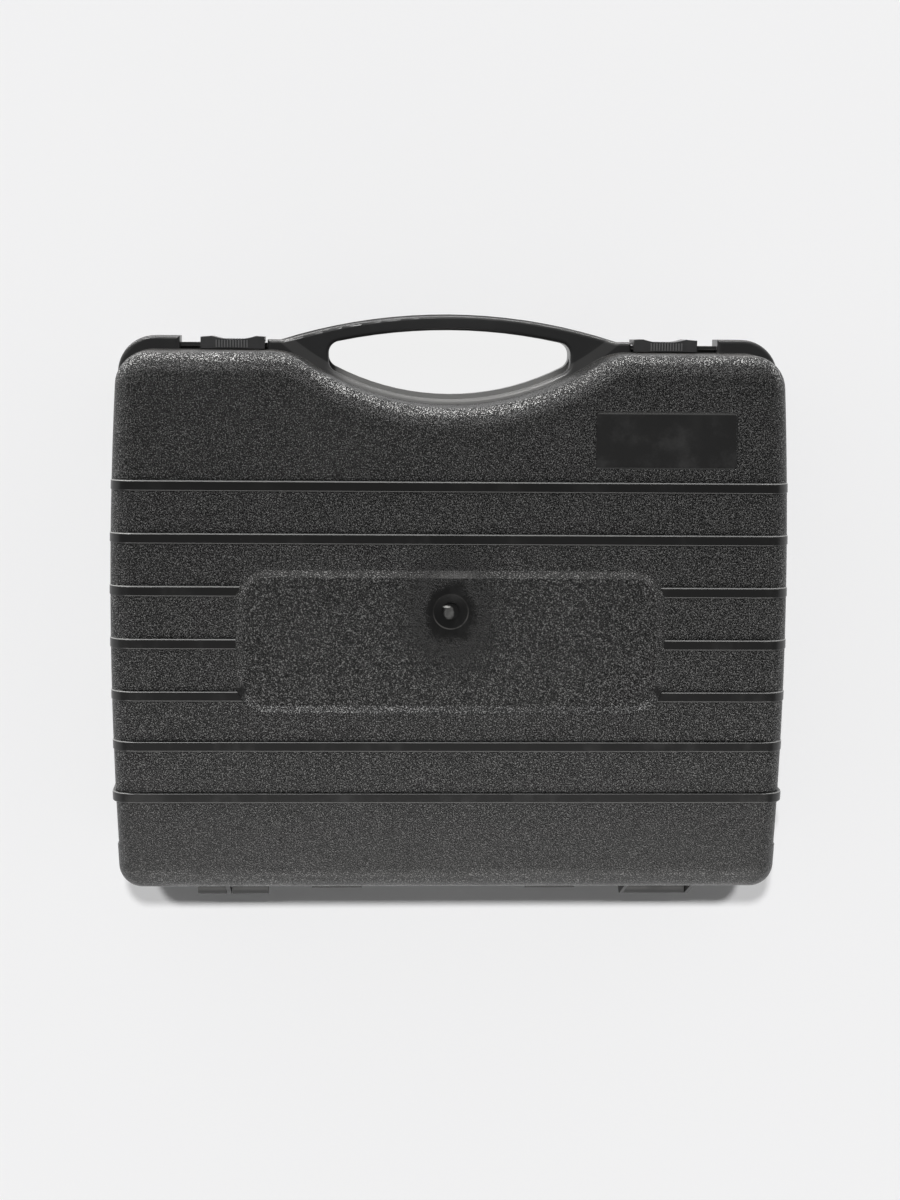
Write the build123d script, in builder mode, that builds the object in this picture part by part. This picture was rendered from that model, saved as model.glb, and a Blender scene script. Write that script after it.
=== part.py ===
from build123d import *

import os
from math import atan2, cos, degrees, radians, sin, sqrt, tan

os.makedirs("parts", exist_ok=True)

# A portable gas stove lying in its carrying case, in millimetres. The case lies on its back:
# X runs across, Y from the handle (-) to the hinge (+), Z up through the lid.

# --- carrying case: shells ----------------------------------------------------------------------
SPLIT_Z = 52.0  # plane where the two shells meet
FACE_H = 50.8  # from the split to the face of a shell
RIB_RISE = 1.2  # ribs above the face
WALL = 2.5
DRAFT = 1.2  # degrees, on the side walls
FACE_ROUND = 11.0  # between a face and its side walls
HINGE_EDGE_Y, GRIP_EDGE_Y = 146.5, -141.7
SIDE_X, SIDE_Y, SIDE_R = 181.5, -3.0, 2236.0  # widest point and radius of the bowed sides
HINGE_CORNER_R, GRIP_CORNER_R = 13.0, 19.0
DIP_Y, DIP_R = -253.0, 140.0  # hollow behind the handle
BLEND_X, BLEND_R = 96.0, 35.0  # where the hollow meets the grip edge
BLEND_Y = GRIP_EDGE_Y + BLEND_R

RIB_W, RIB_ROUND = 5.6, 0.8
RIB_YS = [-70.8, -43.0, -15.1, 13.0, 41.0, 68.0]
RIB_SIDE = 0.4  # how far the ribs stand out of the side walls
LAST_RIB_Y, LAST_RIB_SIDE = 95.8, 1.8
SKIRT_Y, SKIRT_SIDE = 123.0, 0.7  # thicker skirt beside the hinge

PANEL_Y, PANEL_W, PANEL_H, PANEL_R = 12.0, 228.0, 77.0, 17.5
PANEL_DEPTH, PANEL_SLOPE = 1.8, 4.3
PANEL_PAD = 4.0  # thickening behind the panel
GATE_Y, GATE_R, GATE_DEPTH, GATE_NUB_R = -4.5, 9.2, 0.8, 4.2  # moulding gate mark
LABEL_X, LABEL_Y, LABEL_W, LABEL_H, LABEL_DEPTH = -113.2, -95.8, 75.6, 30.4, 0.6
LABEL_SLOPE = 0.45

# --- carrying case: handle, latches and hinge -----------------------------------------------------
FLANGE_H, FLANGE_ROUND = 11.0, 2.0  # each shell carries half of the handle
HANDLE_Y, FRONT_HANDLE_R, REAR_HANDLE_R = 139.3, 300.0, 300.5
ROOT_Y = -147.0
CHANNEL_X = (98.2, 145.3)  # gap for a latch
BLOCK_X, BLOCK_Y, BLOCK_R = 158.5, -148.8, 20.0  # corner blocks
HOLE_Y, HOLE_R, HOLE_X, HOLE_END_R = 137.3, 290.0, 65.3, 6.5
FRONT_LIP_R, REAR_LIP_R = 137.5, 135.0

LATCH_X, LATCH_Y, LATCH_Z = (99.7, 134.1), (-148.7, -145.6), (40.7, 63.3)
LATCH_TRAVEL, LATCH_PLAY, NECK_PLAY = 9.0, 0.4, 0.7
HOOK_Y = -142.0  # how far the latch reaches in
JAW_X, JAW_W = (101.4, 119.4), 7.5
TAB_X = [x + LATCH_TRAVEL + LATCH_PLAY for x in JAW_X]
TAB_Y, TAB_Z = -145.3, (44.0, SPLIT_Z)  # the rear shell's tabs
RAIL_Z, RAIL_NECK_Y, RAIL_NECK_Z = (SPLIT_Z, 60.0), -143.4, 56.5  # the lid's rail
GRIP_LOW_Y, GRIP_RIDGES, GRIP_PITCH, GRIP_RISE = -146.9, 12, 1.5, 0.4

HINGE_Y, KNUCKLE_R, PIN_R, PIN_PLAY = 154.5, 5.5, 1.75, 0.05
STAND_Y = HINGE_Y + KNUCKLE_R
LID_LUGS = [(-136.5, -134.5), (-100.0, -98.0), (118.5, 120.9)]
REAR_LUGS = [(-134.0, -100.5), (98.0, 118.0), (121.4, 137.0)]
PIN_X = (98.0, 137.0)
STAND_FEET, STAND_W, STAND_Z = (-60.0, 60.0), 28.0, (14.0, 38.0)

# --- stove: sheet metal ---------------------------------------------------------------------------
SHEET = 1.0
STOVE_X, STOVE_Y = 166.0, (-104.0, 138.0)
STOVE_R = 16.0
BASE_Z, TOP_Z, SKIRT_H = 9.0, 80.0, 6.0
FLOOR_Z = BASE_Z + SHEET
TRAY_Z = SPLIT_Z - FACE_H + WALL  # floor of the case
SKIRT_GAP = 0.1
VENT_Y, VENT_ZS, VENT_H = (-40.0, 80.0), (26.0, 36.0, 46.0), 4.0
AIR_SLOT_Y = (38.0, 78.0)  # in the floor, behind the burner
FEET = [(-140.0, -80.0), (140.0, -80.0), (-140.0, 114.0), (140.0, 114.0)]
FOOT_R, SCREW_R, SCREW_HEAD_R, SCREW_HEAD_H = 10.0, 2.0, 3.8, 1.8
SLOT_W, SLOT_DEPTH = 0.9, 0.9  # cross recess of the screws
SCREW_GAP = 0.05
FOOT_SCREW_Z = 6.2

BURNER = (-45.0, 18.0)
PAN_R, PAN_SHEET, PAN_HOLE_R = 95.0, 0.8, 40.0
SUPPORT_Z, SUPPORT_T = 96.0, 2.4
BRACKET_SCREWS = [(BURNER[0] - 32.5, BURNER[1]), (BURNER[0] + 32.5, BURNER[1])]
BAY_X, BAY_END_Y = (80.5, 167.1), 132.9  # cartridge bay, over its cover
PARTITION_X = (77.5, 78.5)
CARTRIDGE_X, CARTRIDGE_Z = 123.0, 45.5
COVER_Z, COVER_CROWN = 81.5, 4.5
COVER_AXIS_Y, COVER_AXIS_Z = 136.0, 84.5
COVER_KNUCKLE_R, COVER_PIN_R = 2.6, 1.1
COVER_LUG_X, LEAF_XS = (98.0, 148.0), [(86.0, 97.5), (148.5, 160.0)]

# --- stove: burner, gas line and controls ---------------------------------------------------------
HEAD_Z, HEAD_R, CAP_R = (34.0, 66.0), 28.0, 30.0
PORTS, PORT_R = 24, 1.2
JET = (98.0, -70.0)
MIXER_R, MIXER_T, MIXER_RUN, TUBE_WINDOW_RUN = 8.0, 1.0, (27.0, 152.0), 23.5
REGULATOR_Y, REGULATOR_R, SOCKET_R = (-92.0, -64.0), 16.0, 5.5
DIAPHRAGM_Y, DIAPHRAGM_Z, DIAPHRAGM_R, COVER_SCREW_R = -78.0, 62.0, 19.0, 1.5
GUIDE_Y = (-57.2, -56.0)
HEAT_Y, HEAT_T = (50.0, 70.0), 1.2
HEAT_X, HEAT_PAD_X, HEAT_PAD_Y = (-30.0, 150.0), (88.0, 158.0), (38.0, 110.0)
KNOB_R, KNOB_Y, STEM_R, STEM_Y = 19.0, -107.0, 3.0, (-120.0, -84.5)
KNOB_TURN, DIAL_MARKS = 190.0, 7
CAM_R, CAM_LIFT, CAM_Y = 8.0, 5.0, (-101.0, -97.5)
PLUNGER_R = 2.0
IGNITER_X, IGNITER_Y, IGNITER_TOP = (118.0, 128.0), (-103.0, -93.5), 27.0
LEVER_X, LEVER_Y, LEVER_Z = (87.0, 97.0), (-102.6, -101.2), (30.0, 66.0)
LEVER_TAB_Z, LEVER_TRAVEL, PUSH_TRAVEL = (50.0, 56.0), 18.0, 8.0
LOCK_PIN_Y, LOCK_PIN_Z, LOCK_PIN_R = -86.0, 44.0, 1.5
PUSH_BAR_X, PUSH_BAR_Z, PUSH_PLATE_Y = (82.5, 84.0), (14.0, 22.0), (131.7, 133.2)
LOOSE = 0.3  # gap round a piece that moves
PUSH_GUIDES = (-30.0, 90.0)
ELECTRODE_R, ELECTRODE_ANGLE, ROD_R, CERAMIC_R = 35.5, -60.0, 0.8, 2.5
CERAMIC_Z = (46.0, 70.0)
WIRE_R, WIRE_Z, WIRE_NOTCH_Y = 1.1, 11.6, (-89.0, -80.0)


def polar(radius, angle, centre=(0.0, 0.0)):
    """Point at a radius and an angle in degrees about a centre."""
    return (centre[0] + radius * cos(radians(angle)), centre[1] + radius * sin(radians(angle)))


ELECTRODE = polar(ELECTRODE_R, ELECTRODE_ANGLE, BURNER)


def block(x, y, z, mode=Mode.ADD):
    """Add or cut the box between the two ends given along each axis."""
    with Locations(tuple((low + high) / 2 for low, high in (x, y, z))):
        Box(x[1] - x[0], y[1] - y[0], z[1] - z[0], mode=mode)


def rod(start, direction, radius, length, mode=Mode.ADD):
    """Add or cut a cylinder that runs from a point along a direction."""
    with Locations(Plane(origin=start, z_dir=direction)):
        Cylinder(radius, length, align=(Align.CENTER, Align.CENTER, Align.MIN), mode=mode)


def cross_slots(centre, width, z):
    """Cut a cross recess into a screw head between two heights."""
    for across, along in ((SLOT_W, width), (width, SLOT_W)):
        x, y = ((middle - side / 2, middle + side / 2) for middle, side in zip(centre, (across, along)))
        block(x, y, z, Mode.SUBTRACT)


def bent_strip(plane, points, bend, thickness):
    """Section of a strip of even thickness that follows a polyline with rounded bends."""
    with BuildSketch(plane) as section:
        with BuildLine():
            FilletPolyline(*points, radius=bend)
            offset(amount=thickness, side=Side.LEFT)
        make_face()
    return section.sketch


def finish(piece, name):
    """Label a finished piece and write its STEP file."""
    piece.part.label = name
    export_step(piece.part, f"parts/{name}.step")


# ==================================================================================================
# Carrying case
# ==================================================================================================
def side_x(y):
    """Half width of the case at the split plane."""
    return SIDE_X - SIDE_R + sqrt(SIDE_R**2 - (y - SIDE_Y) ** 2)


def case_outline(grow):
    """The case's outline, grown outward by grow."""
    slope = degrees(atan2(BLEND_Y - DIP_Y, BLEND_X))
    touch = polar(DIP_R, slope, (0, DIP_Y))
    grip_end = (side_x(GRIP_EDGE_Y), GRIP_EDGE_Y)
    hinge_end = (side_x(HINGE_EDGE_Y), HINGE_EDGE_Y)
    with BuildSketch() as outline:
        with BuildLine() as half:
            ThreePointArc((0, DIP_Y + DIP_R), polar(DIP_R, (90 + slope) / 2, (0, DIP_Y)), touch)
            blend_middle = polar(BLEND_R, (slope - 270) / 2, (BLEND_X, BLEND_Y))
            ThreePointArc(touch, blend_middle, (BLEND_X, GRIP_EDGE_Y))
            Line((BLEND_X, GRIP_EDGE_Y), grip_end)
            ThreePointArc(grip_end, (SIDE_X, SIDE_Y), hinge_end)
            Line(hinge_end, (0, HINGE_EDGE_Y))
            mirror(half.line, about=Plane.YZ)
        make_face()
        corners = outline.vertices().filter_by(lambda v: abs(v.X) > BLOCK_X)
        fillet(corners.group_by(Axis.Y)[-1], HINGE_CORNER_R)
        corners = outline.vertices().filter_by(lambda v: abs(v.X) > BLOCK_X)
        fillet(corners.group_by(Axis.Y)[0], GRIP_CORNER_R)
        if grow:
            offset(amount=grow, mode=Mode.REPLACE)
    return outline.sketch


def case_body(grow, height, face_round):
    """A drafted solid on the case's outline with its face edge rounded."""
    with BuildPart() as body:
        with BuildSketch(Plane.XY.offset(SPLIT_Z)):
            add(case_outline(grow))
        extrude(amount=height, taper=DRAFT)
        fillet(body.faces().sort_by(Axis.Z)[-1].edges(), face_round)
    return body.part


def case_bands(side, height, middles, width):
    """Bands across the case that stand out of its sides and its face."""
    with BuildPart() as slices:
        with Locations(*[(0, y, SPLIT_Z) for y in middles]):
            Box(3 * SIDE_X, width, 3 * height)
    with BuildPart() as bands:
        add(case_body(side, height, FACE_ROUND + RIB_RISE))
        add(slices.part, mode=Mode.INTERSECT)
        if height > FACE_H:
            rims = bands.edges().filter_by(
                lambda e: e.bounding_box().size.Y < 0.01 and e.bounding_box().max.Z > SPLIT_Z + 1
            )
            fillet(rims, RIB_ROUND)
    return bands.part


def panel_step(z):
    """The sloping sides of the recessed panel, as a cutter that ends at the face."""
    with BuildPart() as step:
        for height, inset in ((0, 0), (-PANEL_DEPTH, PANEL_SLOPE)):
            with BuildSketch(Plane.XY.offset(z + height)):
                with Locations((0, PANEL_Y)):
                    RectangleRounded(PANEL_W - 2 * inset, PANEL_H - 2 * inset, PANEL_R - inset)
        loft()
        with BuildSketch(Plane.XY.offset(z)):
            with Locations((0, PANEL_Y)):
                RectangleRounded(PANEL_W, PANEL_H, PANEL_R)
        extrude(amount=2 * RIB_RISE)
    return step.part


def handle_flange(handle_r, lip_r):
    """One shell's half of the handle with its hole, the latch gaps and the corner blocks."""
    arc_x = sqrt(handle_r**2 - (HANDLE_Y - ROOT_Y) ** 2)
    arc_middle = polar(handle_r, -90 + degrees(atan2(arc_x, HANDLE_Y - ROOT_Y)) / 2, (0, HANDLE_Y))
    hole_y = HOLE_Y - sqrt(HOLE_R**2 - HOLE_X**2)
    lip_y = DIP_Y + sqrt(lip_r**2 - HOLE_X**2)
    with BuildPart() as flange:
        with BuildSketch(Plane.XY.offset(SPLIT_Z)) as plate:
            with BuildLine() as half:
                ThreePointArc((0, HANDLE_Y - handle_r), arc_middle, (arc_x, ROOT_Y))
                Polyline(
                    (arc_x, ROOT_Y),
                    (CHANNEL_X[0], ROOT_Y),
                    (CHANNEL_X[0], GRIP_EDGE_Y),
                    (CHANNEL_X[1], GRIP_EDGE_Y),
                    (CHANNEL_X[1], BLOCK_Y),
                    (BLOCK_X, BLOCK_Y),
                )
                CenterArc((BLOCK_X, BLOCK_Y + BLOCK_R), BLOCK_R, -90, 90)
                Polyline(
                    (BLOCK_X + BLOCK_R, BLOCK_Y + BLOCK_R),
                    (BLOCK_X + BLOCK_R, DIP_Y + DIP_R),
                    (BLOCK_X, DIP_Y + DIP_R + BLOCK_R),
                    (0, DIP_Y + DIP_R + BLOCK_R),
                )
                mirror(half.line, about=Plane.YZ)
            make_face()
            with BuildSketch(mode=Mode.SUBTRACT) as hole:
                with BuildLine() as half:
                    lens_end = polar(HOLE_R, -90 + degrees(atan2(HOLE_X, HOLE_Y - hole_y)) / 2, (0, HOLE_Y))
                    ThreePointArc((0, HOLE_Y - HOLE_R), lens_end, (HOLE_X, hole_y))
                    Line((HOLE_X, hole_y), (HOLE_X, lip_y))
                    lip_end = polar(lip_r, 90 - degrees(atan2(HOLE_X, lip_y - DIP_Y)) / 2, (0, DIP_Y))
                    ThreePointArc((HOLE_X, lip_y), lip_end, (0, DIP_Y + lip_r))
                    mirror(half.line, about=Plane.YZ)
                make_face()
                ends = hole.vertices().filter_by(lambda v: abs(v.X) > HOLE_X - 1)
                fillet(ends, HOLE_END_R)
        extrude(amount=FLANGE_H)
        rims = flange.edges().group_by(Axis.Z)[-1]
        fillet(rims.filter_by(lambda e: e.center().Y < DIP_Y + DIP_R - 1), FLANGE_ROUND)
    return flange.part


def hinge_lug(x, root_z):
    """A lug from a shell's hinge wall to the hinge knuckle, without its bore."""
    with BuildPart() as lug:
        with BuildSketch(Plane.YZ.offset(x[0])):
            with Locations((HINGE_Y, SPLIT_Z)):
                Circle(KNUCKLE_R)
            with Locations((HINGE_EDGE_Y - 1.5, sum(root_z) / 2)):
                Rectangle(1, root_z[1] - root_z[0])
            make_hull()
        extrude(amount=x[1] - x[0])
    return lug.part


outer_body = case_body(0, FACE_H, FACE_ROUND)
inner_body = case_body(-WALL, FACE_H - WALL, FACE_ROUND - WALL)
top_z = FACE_H + RIB_RISE
ribs = case_bands(RIB_SIDE, top_z, RIB_YS, RIB_W)
last_rib = case_bands(LAST_RIB_SIDE, top_z, [LAST_RIB_Y], RIB_W)
skirt_w = HINGE_EDGE_Y - SKIRT_Y - 0.1
skirt = case_bands(SKIRT_SIDE, FACE_H, [SKIRT_Y + skirt_w / 2], skirt_w)
split = Plane.XY.offset(SPLIT_Z)
face_z = SPLIT_Z + FACE_H
panel_z = face_z - PANEL_DEPTH
gate_ball = (GATE_R**2 + GATE_DEPTH**2) / (2 * GATE_DEPTH)

with BuildPart() as front_shell:
    add([outer_body, ribs, last_rib, skirt])
    add(handle_flange(FRONT_HANDLE_R, FRONT_LIP_R))
    for lug_x in LID_LUGS:
        add(hinge_lug(lug_x, (SPLIT_Z + 4, SPLIT_Z + 36)))
    for depth, inset in ((0, 0), (LABEL_DEPTH, LABEL_SLOPE)):
        with BuildSketch(Plane.XY.offset(face_z - depth)):
            with Locations((LABEL_X, LABEL_Y)):
                RectangleRounded(LABEL_W - 2 * inset, LABEL_H - 2 * inset, 1.5 - inset)
    loft(mode=Mode.SUBTRACT)
    add(inner_body, mode=Mode.SUBTRACT)
    with BuildSketch(Plane.XY.offset(face_z - PANEL_PAD)):
        with Locations((0, PANEL_Y)):
            RectangleRounded(PANEL_W + WALL, PANEL_H + WALL, PANEL_R)
    extrude(amount=WALL)
    add(panel_step(face_z), mode=Mode.SUBTRACT)
    with Locations((0, GATE_Y, panel_z - GATE_DEPTH + gate_ball)):
        Sphere(gate_ball, mode=Mode.SUBTRACT)
    rod((0, GATE_Y, panel_z - 1), (0, 0, 1), GATE_NUB_R, 1.3)
    for side in (-1, 1):
        ends = sorted((side * CHANNEL_X[0], side * CHANNEL_X[1]))
        block(ends, (RAIL_NECK_Y, GRIP_EDGE_Y + 1), (RAIL_Z[0], RAIL_NECK_Z))
        block(ends, (TAB_Y, RAIL_NECK_Y), RAIL_Z)
    for lug_x in LID_LUGS:
        rod((lug_x[0], HINGE_Y, SPLIT_Z), (1, 0, 0), PIN_R + PIN_PLAY, lug_x[1] - lug_x[0], Mode.SUBTRACT)
finish(front_shell, "front_shell")

with BuildPart() as rear_shell:
    mirror(outer_body, about=split)
    mirror(ribs, about=split)
    mirror(last_rib, about=split)
    mirror(skirt, about=split)
    mirror(handle_flange(REAR_HANDLE_R, REAR_LIP_R), about=split)
    for lug_x in REAR_LUGS:
        add(hinge_lug(lug_x, (SPLIT_Z - 40, SPLIT_Z - 2)))
    for foot_x in STAND_FEET:
        block((foot_x - STAND_W / 2, foot_x + STAND_W / 2), (HINGE_EDGE_Y - WALL, STAND_Y), STAND_Z)
    mirror(inner_body, about=split, mode=Mode.SUBTRACT)
    for side in (-1, 1):
        for tab_x in TAB_X:
            ends = sorted((side * tab_x, side * (tab_x + JAW_W)))
            block(ends, (TAB_Y, GRIP_EDGE_Y + 1), TAB_Z)
    for lug_x in REAR_LUGS:
        rod((lug_x[0], HINGE_Y, SPLIT_Z), (1, 0, 0), PIN_R, lug_x[1] - lug_x[0], Mode.SUBTRACT)
finish(rear_shell, "rear_shell")

with BuildPart() as latch_slider_right:
    with BuildSketch(Plane.XY.offset(LATCH_Z[0])) as profile:
        with BuildLine():
            Polyline(
                (LATCH_X[0], LATCH_Y[1]),
                (LATCH_X[0], LATCH_Y[0] + 0.3),
                (LATCH_X[0] + 5, LATCH_Y[0]),
            )
            ThreePointArc(
                (LATCH_X[0] + 5, LATCH_Y[0]), (sum(LATCH_X) / 2, GRIP_LOW_Y), (LATCH_X[1] - 6, LATCH_Y[0])
            )
            Polyline(
                (LATCH_X[1] - 6, LATCH_Y[0]),
                (LATCH_X[1], LATCH_Y[0] + 0.5),
                (LATCH_X[1], LATCH_Y[1]),
                (LATCH_X[0], LATCH_Y[1]),
            )
        make_face()
    extrude(amount=LATCH_Z[1] - LATCH_Z[0])
    with Locations((sum(LATCH_X) / 2 + 0.5, GRIP_LOW_Y + 0.1, SPLIT_Z)):
        with GridLocations(GRIP_PITCH, 1, GRIP_RIDGES, 1):
            Box(GRIP_PITCH / 2, 1.0, LATCH_Z[1] - LATCH_Z[0] - 6)
    ridge_y = (GRIP_LOW_Y + 0.2, HOOK_Y - 0.6)
    with Locations((sum(LATCH_X) / 2 + 0.5, sum(ridge_y) / 2, LATCH_Z[1])):
        with GridLocations(GRIP_PITCH, 1, GRIP_RIDGES, 1):
            Box(GRIP_PITCH / 2, ridge_y[1] - ridge_y[0], 2 * GRIP_RISE)
    block(LATCH_X, (LATCH_Y[1], HOOK_Y), (RAIL_Z[1] + LOOSE, LATCH_Z[1]))
    block(LATCH_X, (RAIL_NECK_Y + LOOSE, HOOK_Y), (RAIL_NECK_Z + NECK_PLAY, RAIL_Z[1] + LOOSE))
    for jaw_x in JAW_X:
        block((jaw_x, jaw_x + JAW_W), (LATCH_Y[1], HOOK_Y), (LATCH_Z[0], TAB_Z[0] - LOOSE))
finish(latch_slider_right, "latch_slider_right")

with BuildPart() as latch_slider_left:
    mirror(latch_slider_right.part, about=Plane.YZ)
finish(latch_slider_left, "latch_slider_left")

for side, name in ((1, "hinge_pin_right"), (-1, "hinge_pin_left")):
    with BuildPart() as hinge_pin:
        rod((side * PIN_X[0], HINGE_Y, SPLIT_Z), (side, 0, 0), PIN_R, PIN_X[1] - PIN_X[0])
    finish(hinge_pin, name)

# ==================================================================================================
# Stove: sheet metal
# ==================================================================================================
stove_mid_y = sum(STOVE_Y) / 2
stove_depth = STOVE_Y[1] - STOVE_Y[0]
lever_x = sum(LEVER_X) / 2
inner_y = (STOVE_Y[0] + SHEET, STOVE_Y[1] - SHEET)
gas_run = Plane(origin=(*JET, CARTRIDGE_Z), z_dir=(BURNER[0] - JET[0], BURNER[1] - JET[1], 0))


def along_gas(distance):
    """Point on the line from the jet to the burner."""
    return gas_run.offset(distance).origin


def upright(y):
    """Plane across the burner's centre line, with its own x measured from the burner."""
    return Plane(origin=(BURNER[0], y, 0), x_dir=(1, 0, 0), z_dir=(0, -1, 0))


with BuildPart() as stove_base:
    with BuildSketch(Plane.XY.offset(BASE_Z)):
        with Locations((0, stove_mid_y)):
            RectangleRounded(2 * STOVE_X, stove_depth, STOVE_R)
    extrude(amount=TOP_Z - BASE_Z)
    offset(amount=-SHEET, openings=stove_base.faces().sort_by(Axis.Z)[-1])
    fillet(stove_base.faces().sort_by(Axis.Z)[0].outer_wire().edges(), 0.9 * SHEET)
    rod((CARTRIDGE_X, STOVE_Y[0] - 1, CARTRIDGE_Z), (0, 1, 0), STEM_R + 1, 3, Mode.SUBTRACT)
    slot_z = (LEVER_TAB_Z[0] - LEVER_TRAVEL - 1, LEVER_TAB_Z[1] + 1)
    block((lever_x - 3, lever_x + 3), (STOVE_Y[0] - 1, STOVE_Y[0] + 2), slot_z, Mode.SUBTRACT)
    for vent_z in VENT_ZS:
        block((-STOVE_X - 1, STOVE_X + 1), VENT_Y, (vent_z, vent_z + VENT_H), Mode.SUBTRACT)
    for slot_x in range(-3, 4):
        air_x = BURNER[0] + 16 * slot_x
        block((air_x - 2, air_x + 2), AIR_SLOT_Y, (BASE_Z - 1, FLOOR_Z + 1), Mode.SUBTRACT)
    for hole in FEET + BRACKET_SCREWS:
        rod((*hole, BASE_Z - 1), (0, 0, 1), SCREW_R + SCREW_GAP, 3, Mode.SUBTRACT)
finish(stove_base, "stove_base")

with BuildPart() as top_plate:
    grow = SKIRT_GAP + SHEET
    with BuildSketch(Plane.XY.offset(TOP_Z - SKIRT_H)):
        with Locations((0, stove_mid_y)):
            RectangleRounded(2 * (STOVE_X + grow), stove_depth + 2 * grow, STOVE_R + grow)
    extrude(amount=SKIRT_H + SHEET)
    offset(amount=-SHEET, openings=top_plate.faces().sort_by(Axis.Z)[0])
    fillet(top_plate.faces().sort_by(Axis.Z)[-1].outer_wire().edges(), 0.9 * SHEET)
    rod((*BURNER, TOP_Z - 1), (0, 0, 1), PAN_R - 9, 3, Mode.SUBTRACT)
    bay_y = (STOVE_Y[0] - 2 * grow, BAY_END_Y + 0.6)
    block((BAY_X[0] - 1.5, STOVE_X + 2 * grow), bay_y, (TOP_Z - 2 * SKIRT_H, TOP_Z + 2), Mode.SUBTRACT)
finish(top_plate, "top_plate")

with BuildPart() as partition_plate:
    block(PARTITION_X, inner_y, (FLOOR_Z, TOP_Z))
    through = (PARTITION_X[0] - 1, PARTITION_X[1] + 1)
    window_y = along_gas(TUBE_WINDOW_RUN).Y
    block(through, (window_y - 13, window_y + 13), (CARTRIDGE_Z - 12, CARTRIDGE_Z + 12), Mode.SUBTRACT)
    block(through, (HEAT_Y[0] - 1, HEAT_Y[1] + 1), (FLOOR_Z, FLOOR_Z + HEAT_T + 1), Mode.SUBTRACT)
    block(through, WIRE_NOTCH_Y, (FLOOR_Z, WIRE_Z + 2), Mode.SUBTRACT)
finish(partition_plate, "partition_plate")

with BuildPart() as drip_pan:
    rim_z = TOP_Z + SHEET
    bottom_z = rim_z - 12
    section = [
        (PAN_HOLE_R, bottom_z + 4),
        (PAN_HOLE_R + 4, bottom_z),
        (PAN_R - 23, bottom_z),
        (PAN_R - 12, rim_z),
        (PAN_R, rim_z),
    ]
    add(bent_strip(upright(BURNER[1]), section, 1.5, PAN_SHEET))
    revolve(axis=Axis((*BURNER, 0), (0, 0, 1)))
finish(drip_pan, "drip_pan")

with BuildPart() as pan_supports:
    for angle in (45, 135, 225, 315):
        out = (*polar(1, angle), 0)
        aside = (*polar(1, angle - 90), 0)
        with BuildSketch(Plane(origin=(*BURNER, 0), x_dir=out, z_dir=aside).offset(-SUPPORT_T / 2)):
            with BuildLine():
                Polyline(
                    (PAN_R - 1, rim_z + PAN_SHEET),
                    (PAN_R - 1, rim_z + 5),
                    (PAN_R - 9, SUPPORT_Z),
                    (PAN_HOLE_R + 4, SUPPORT_Z),
                    (PAN_HOLE_R + 2, SUPPORT_Z - 3),
                    (PAN_R - 17, SUPPORT_Z - 6),
                    (PAN_R - 9, rim_z + PAN_SHEET),
                    close=True,
                )
            make_face()
        extrude(amount=SUPPORT_T)
finish(pan_supports, "pan_supports")

with BuildPart() as cartridge_cover:
    cover_y0 = STOVE_Y[0] - SKIRT_GAP - SHEET
    cover_x = sum(BAY_X) / 2
    with BuildSketch(Plane.XZ.offset(-cover_y0)):
        with BuildLine():
            Polyline((BAY_X[0], COVER_Z), (BAY_X[0], TOP_Z - 4), (BAY_X[1], TOP_Z - 4), (BAY_X[1], COVER_Z))
            ThreePointArc((BAY_X[1], COVER_Z), (cover_x, COVER_Z + COVER_CROWN), (BAY_X[0], COVER_Z))
        make_face()
    extrude(amount=cover_y0 - BAY_END_Y)
    corner = cartridge_cover.edges().filter_by(Axis.Z).sort_by(Axis.Y)[:2].sort_by(Axis.X)[-1]
    fillet(corner, STOVE_R + SKIRT_GAP + SHEET)
    offset(amount=-SHEET, openings=cartridge_cover.faces().sort_by(Axis.Z)[0])
    with BuildSketch(Plane.YZ.offset(COVER_LUG_X[0])):
        with Locations((COVER_AXIS_Y, COVER_AXIS_Z)):
            Circle(COVER_KNUCKLE_R)
        with Locations((BAY_END_Y - SHEET / 2, COVER_Z + 2)):
            Rectangle(SHEET, 3)
        make_hull()
    extrude(amount=COVER_LUG_X[1] - COVER_LUG_X[0])
    corner_y = (STOVE_Y[1] - STOVE_R, BAY_END_Y + 1)
    block((STOVE_X - STOVE_R, BAY_X[1] + 1), corner_y, (TOP_Z - SKIRT_H, TOP_Z + LOOSE), Mode.SUBTRACT)
    front_y = (STOVE_Y[0] - SKIRT_GAP, inner_y[0] + LOOSE)
    block((BAY_X[0] - 1, BAY_X[0] + SHEET), front_y, (TOP_Z - SKIRT_H, TOP_Z + LOOSE), Mode.SUBTRACT)
    cover_pin_start = (COVER_LUG_X[0] - 1, COVER_AXIS_Y, COVER_AXIS_Z)
    lug_w = COVER_LUG_X[1] - COVER_LUG_X[0]
    rod(cover_pin_start, (1, 0, 0), COVER_PIN_R + PIN_PLAY, lug_w + 2, Mode.SUBTRACT)
finish(cartridge_cover, "cartridge_cover")

with BuildPart() as cover_hinge:
    for leaf_x in LEAF_XS:
        with BuildSketch(Plane.YZ.offset(leaf_x[0])):
            with Locations((COVER_AXIS_Y, COVER_AXIS_Z)):
                Circle(COVER_KNUCKLE_R)
            with Locations((COVER_AXIS_Y + 0.4, rim_z + 0.25)):
                Rectangle(4.8, 0.5)
            make_hull()
        extrude(amount=leaf_x[1] - leaf_x[0])
    leaf_run = LEAF_XS[1][1] - LEAF_XS[0][0] + 2
    rod((LEAF_XS[0][0] - 1, COVER_AXIS_Y, COVER_AXIS_Z), (1, 0, 0), COVER_PIN_R, leaf_run, Mode.SUBTRACT)
finish(cover_hinge, "cover_hinge")

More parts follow.
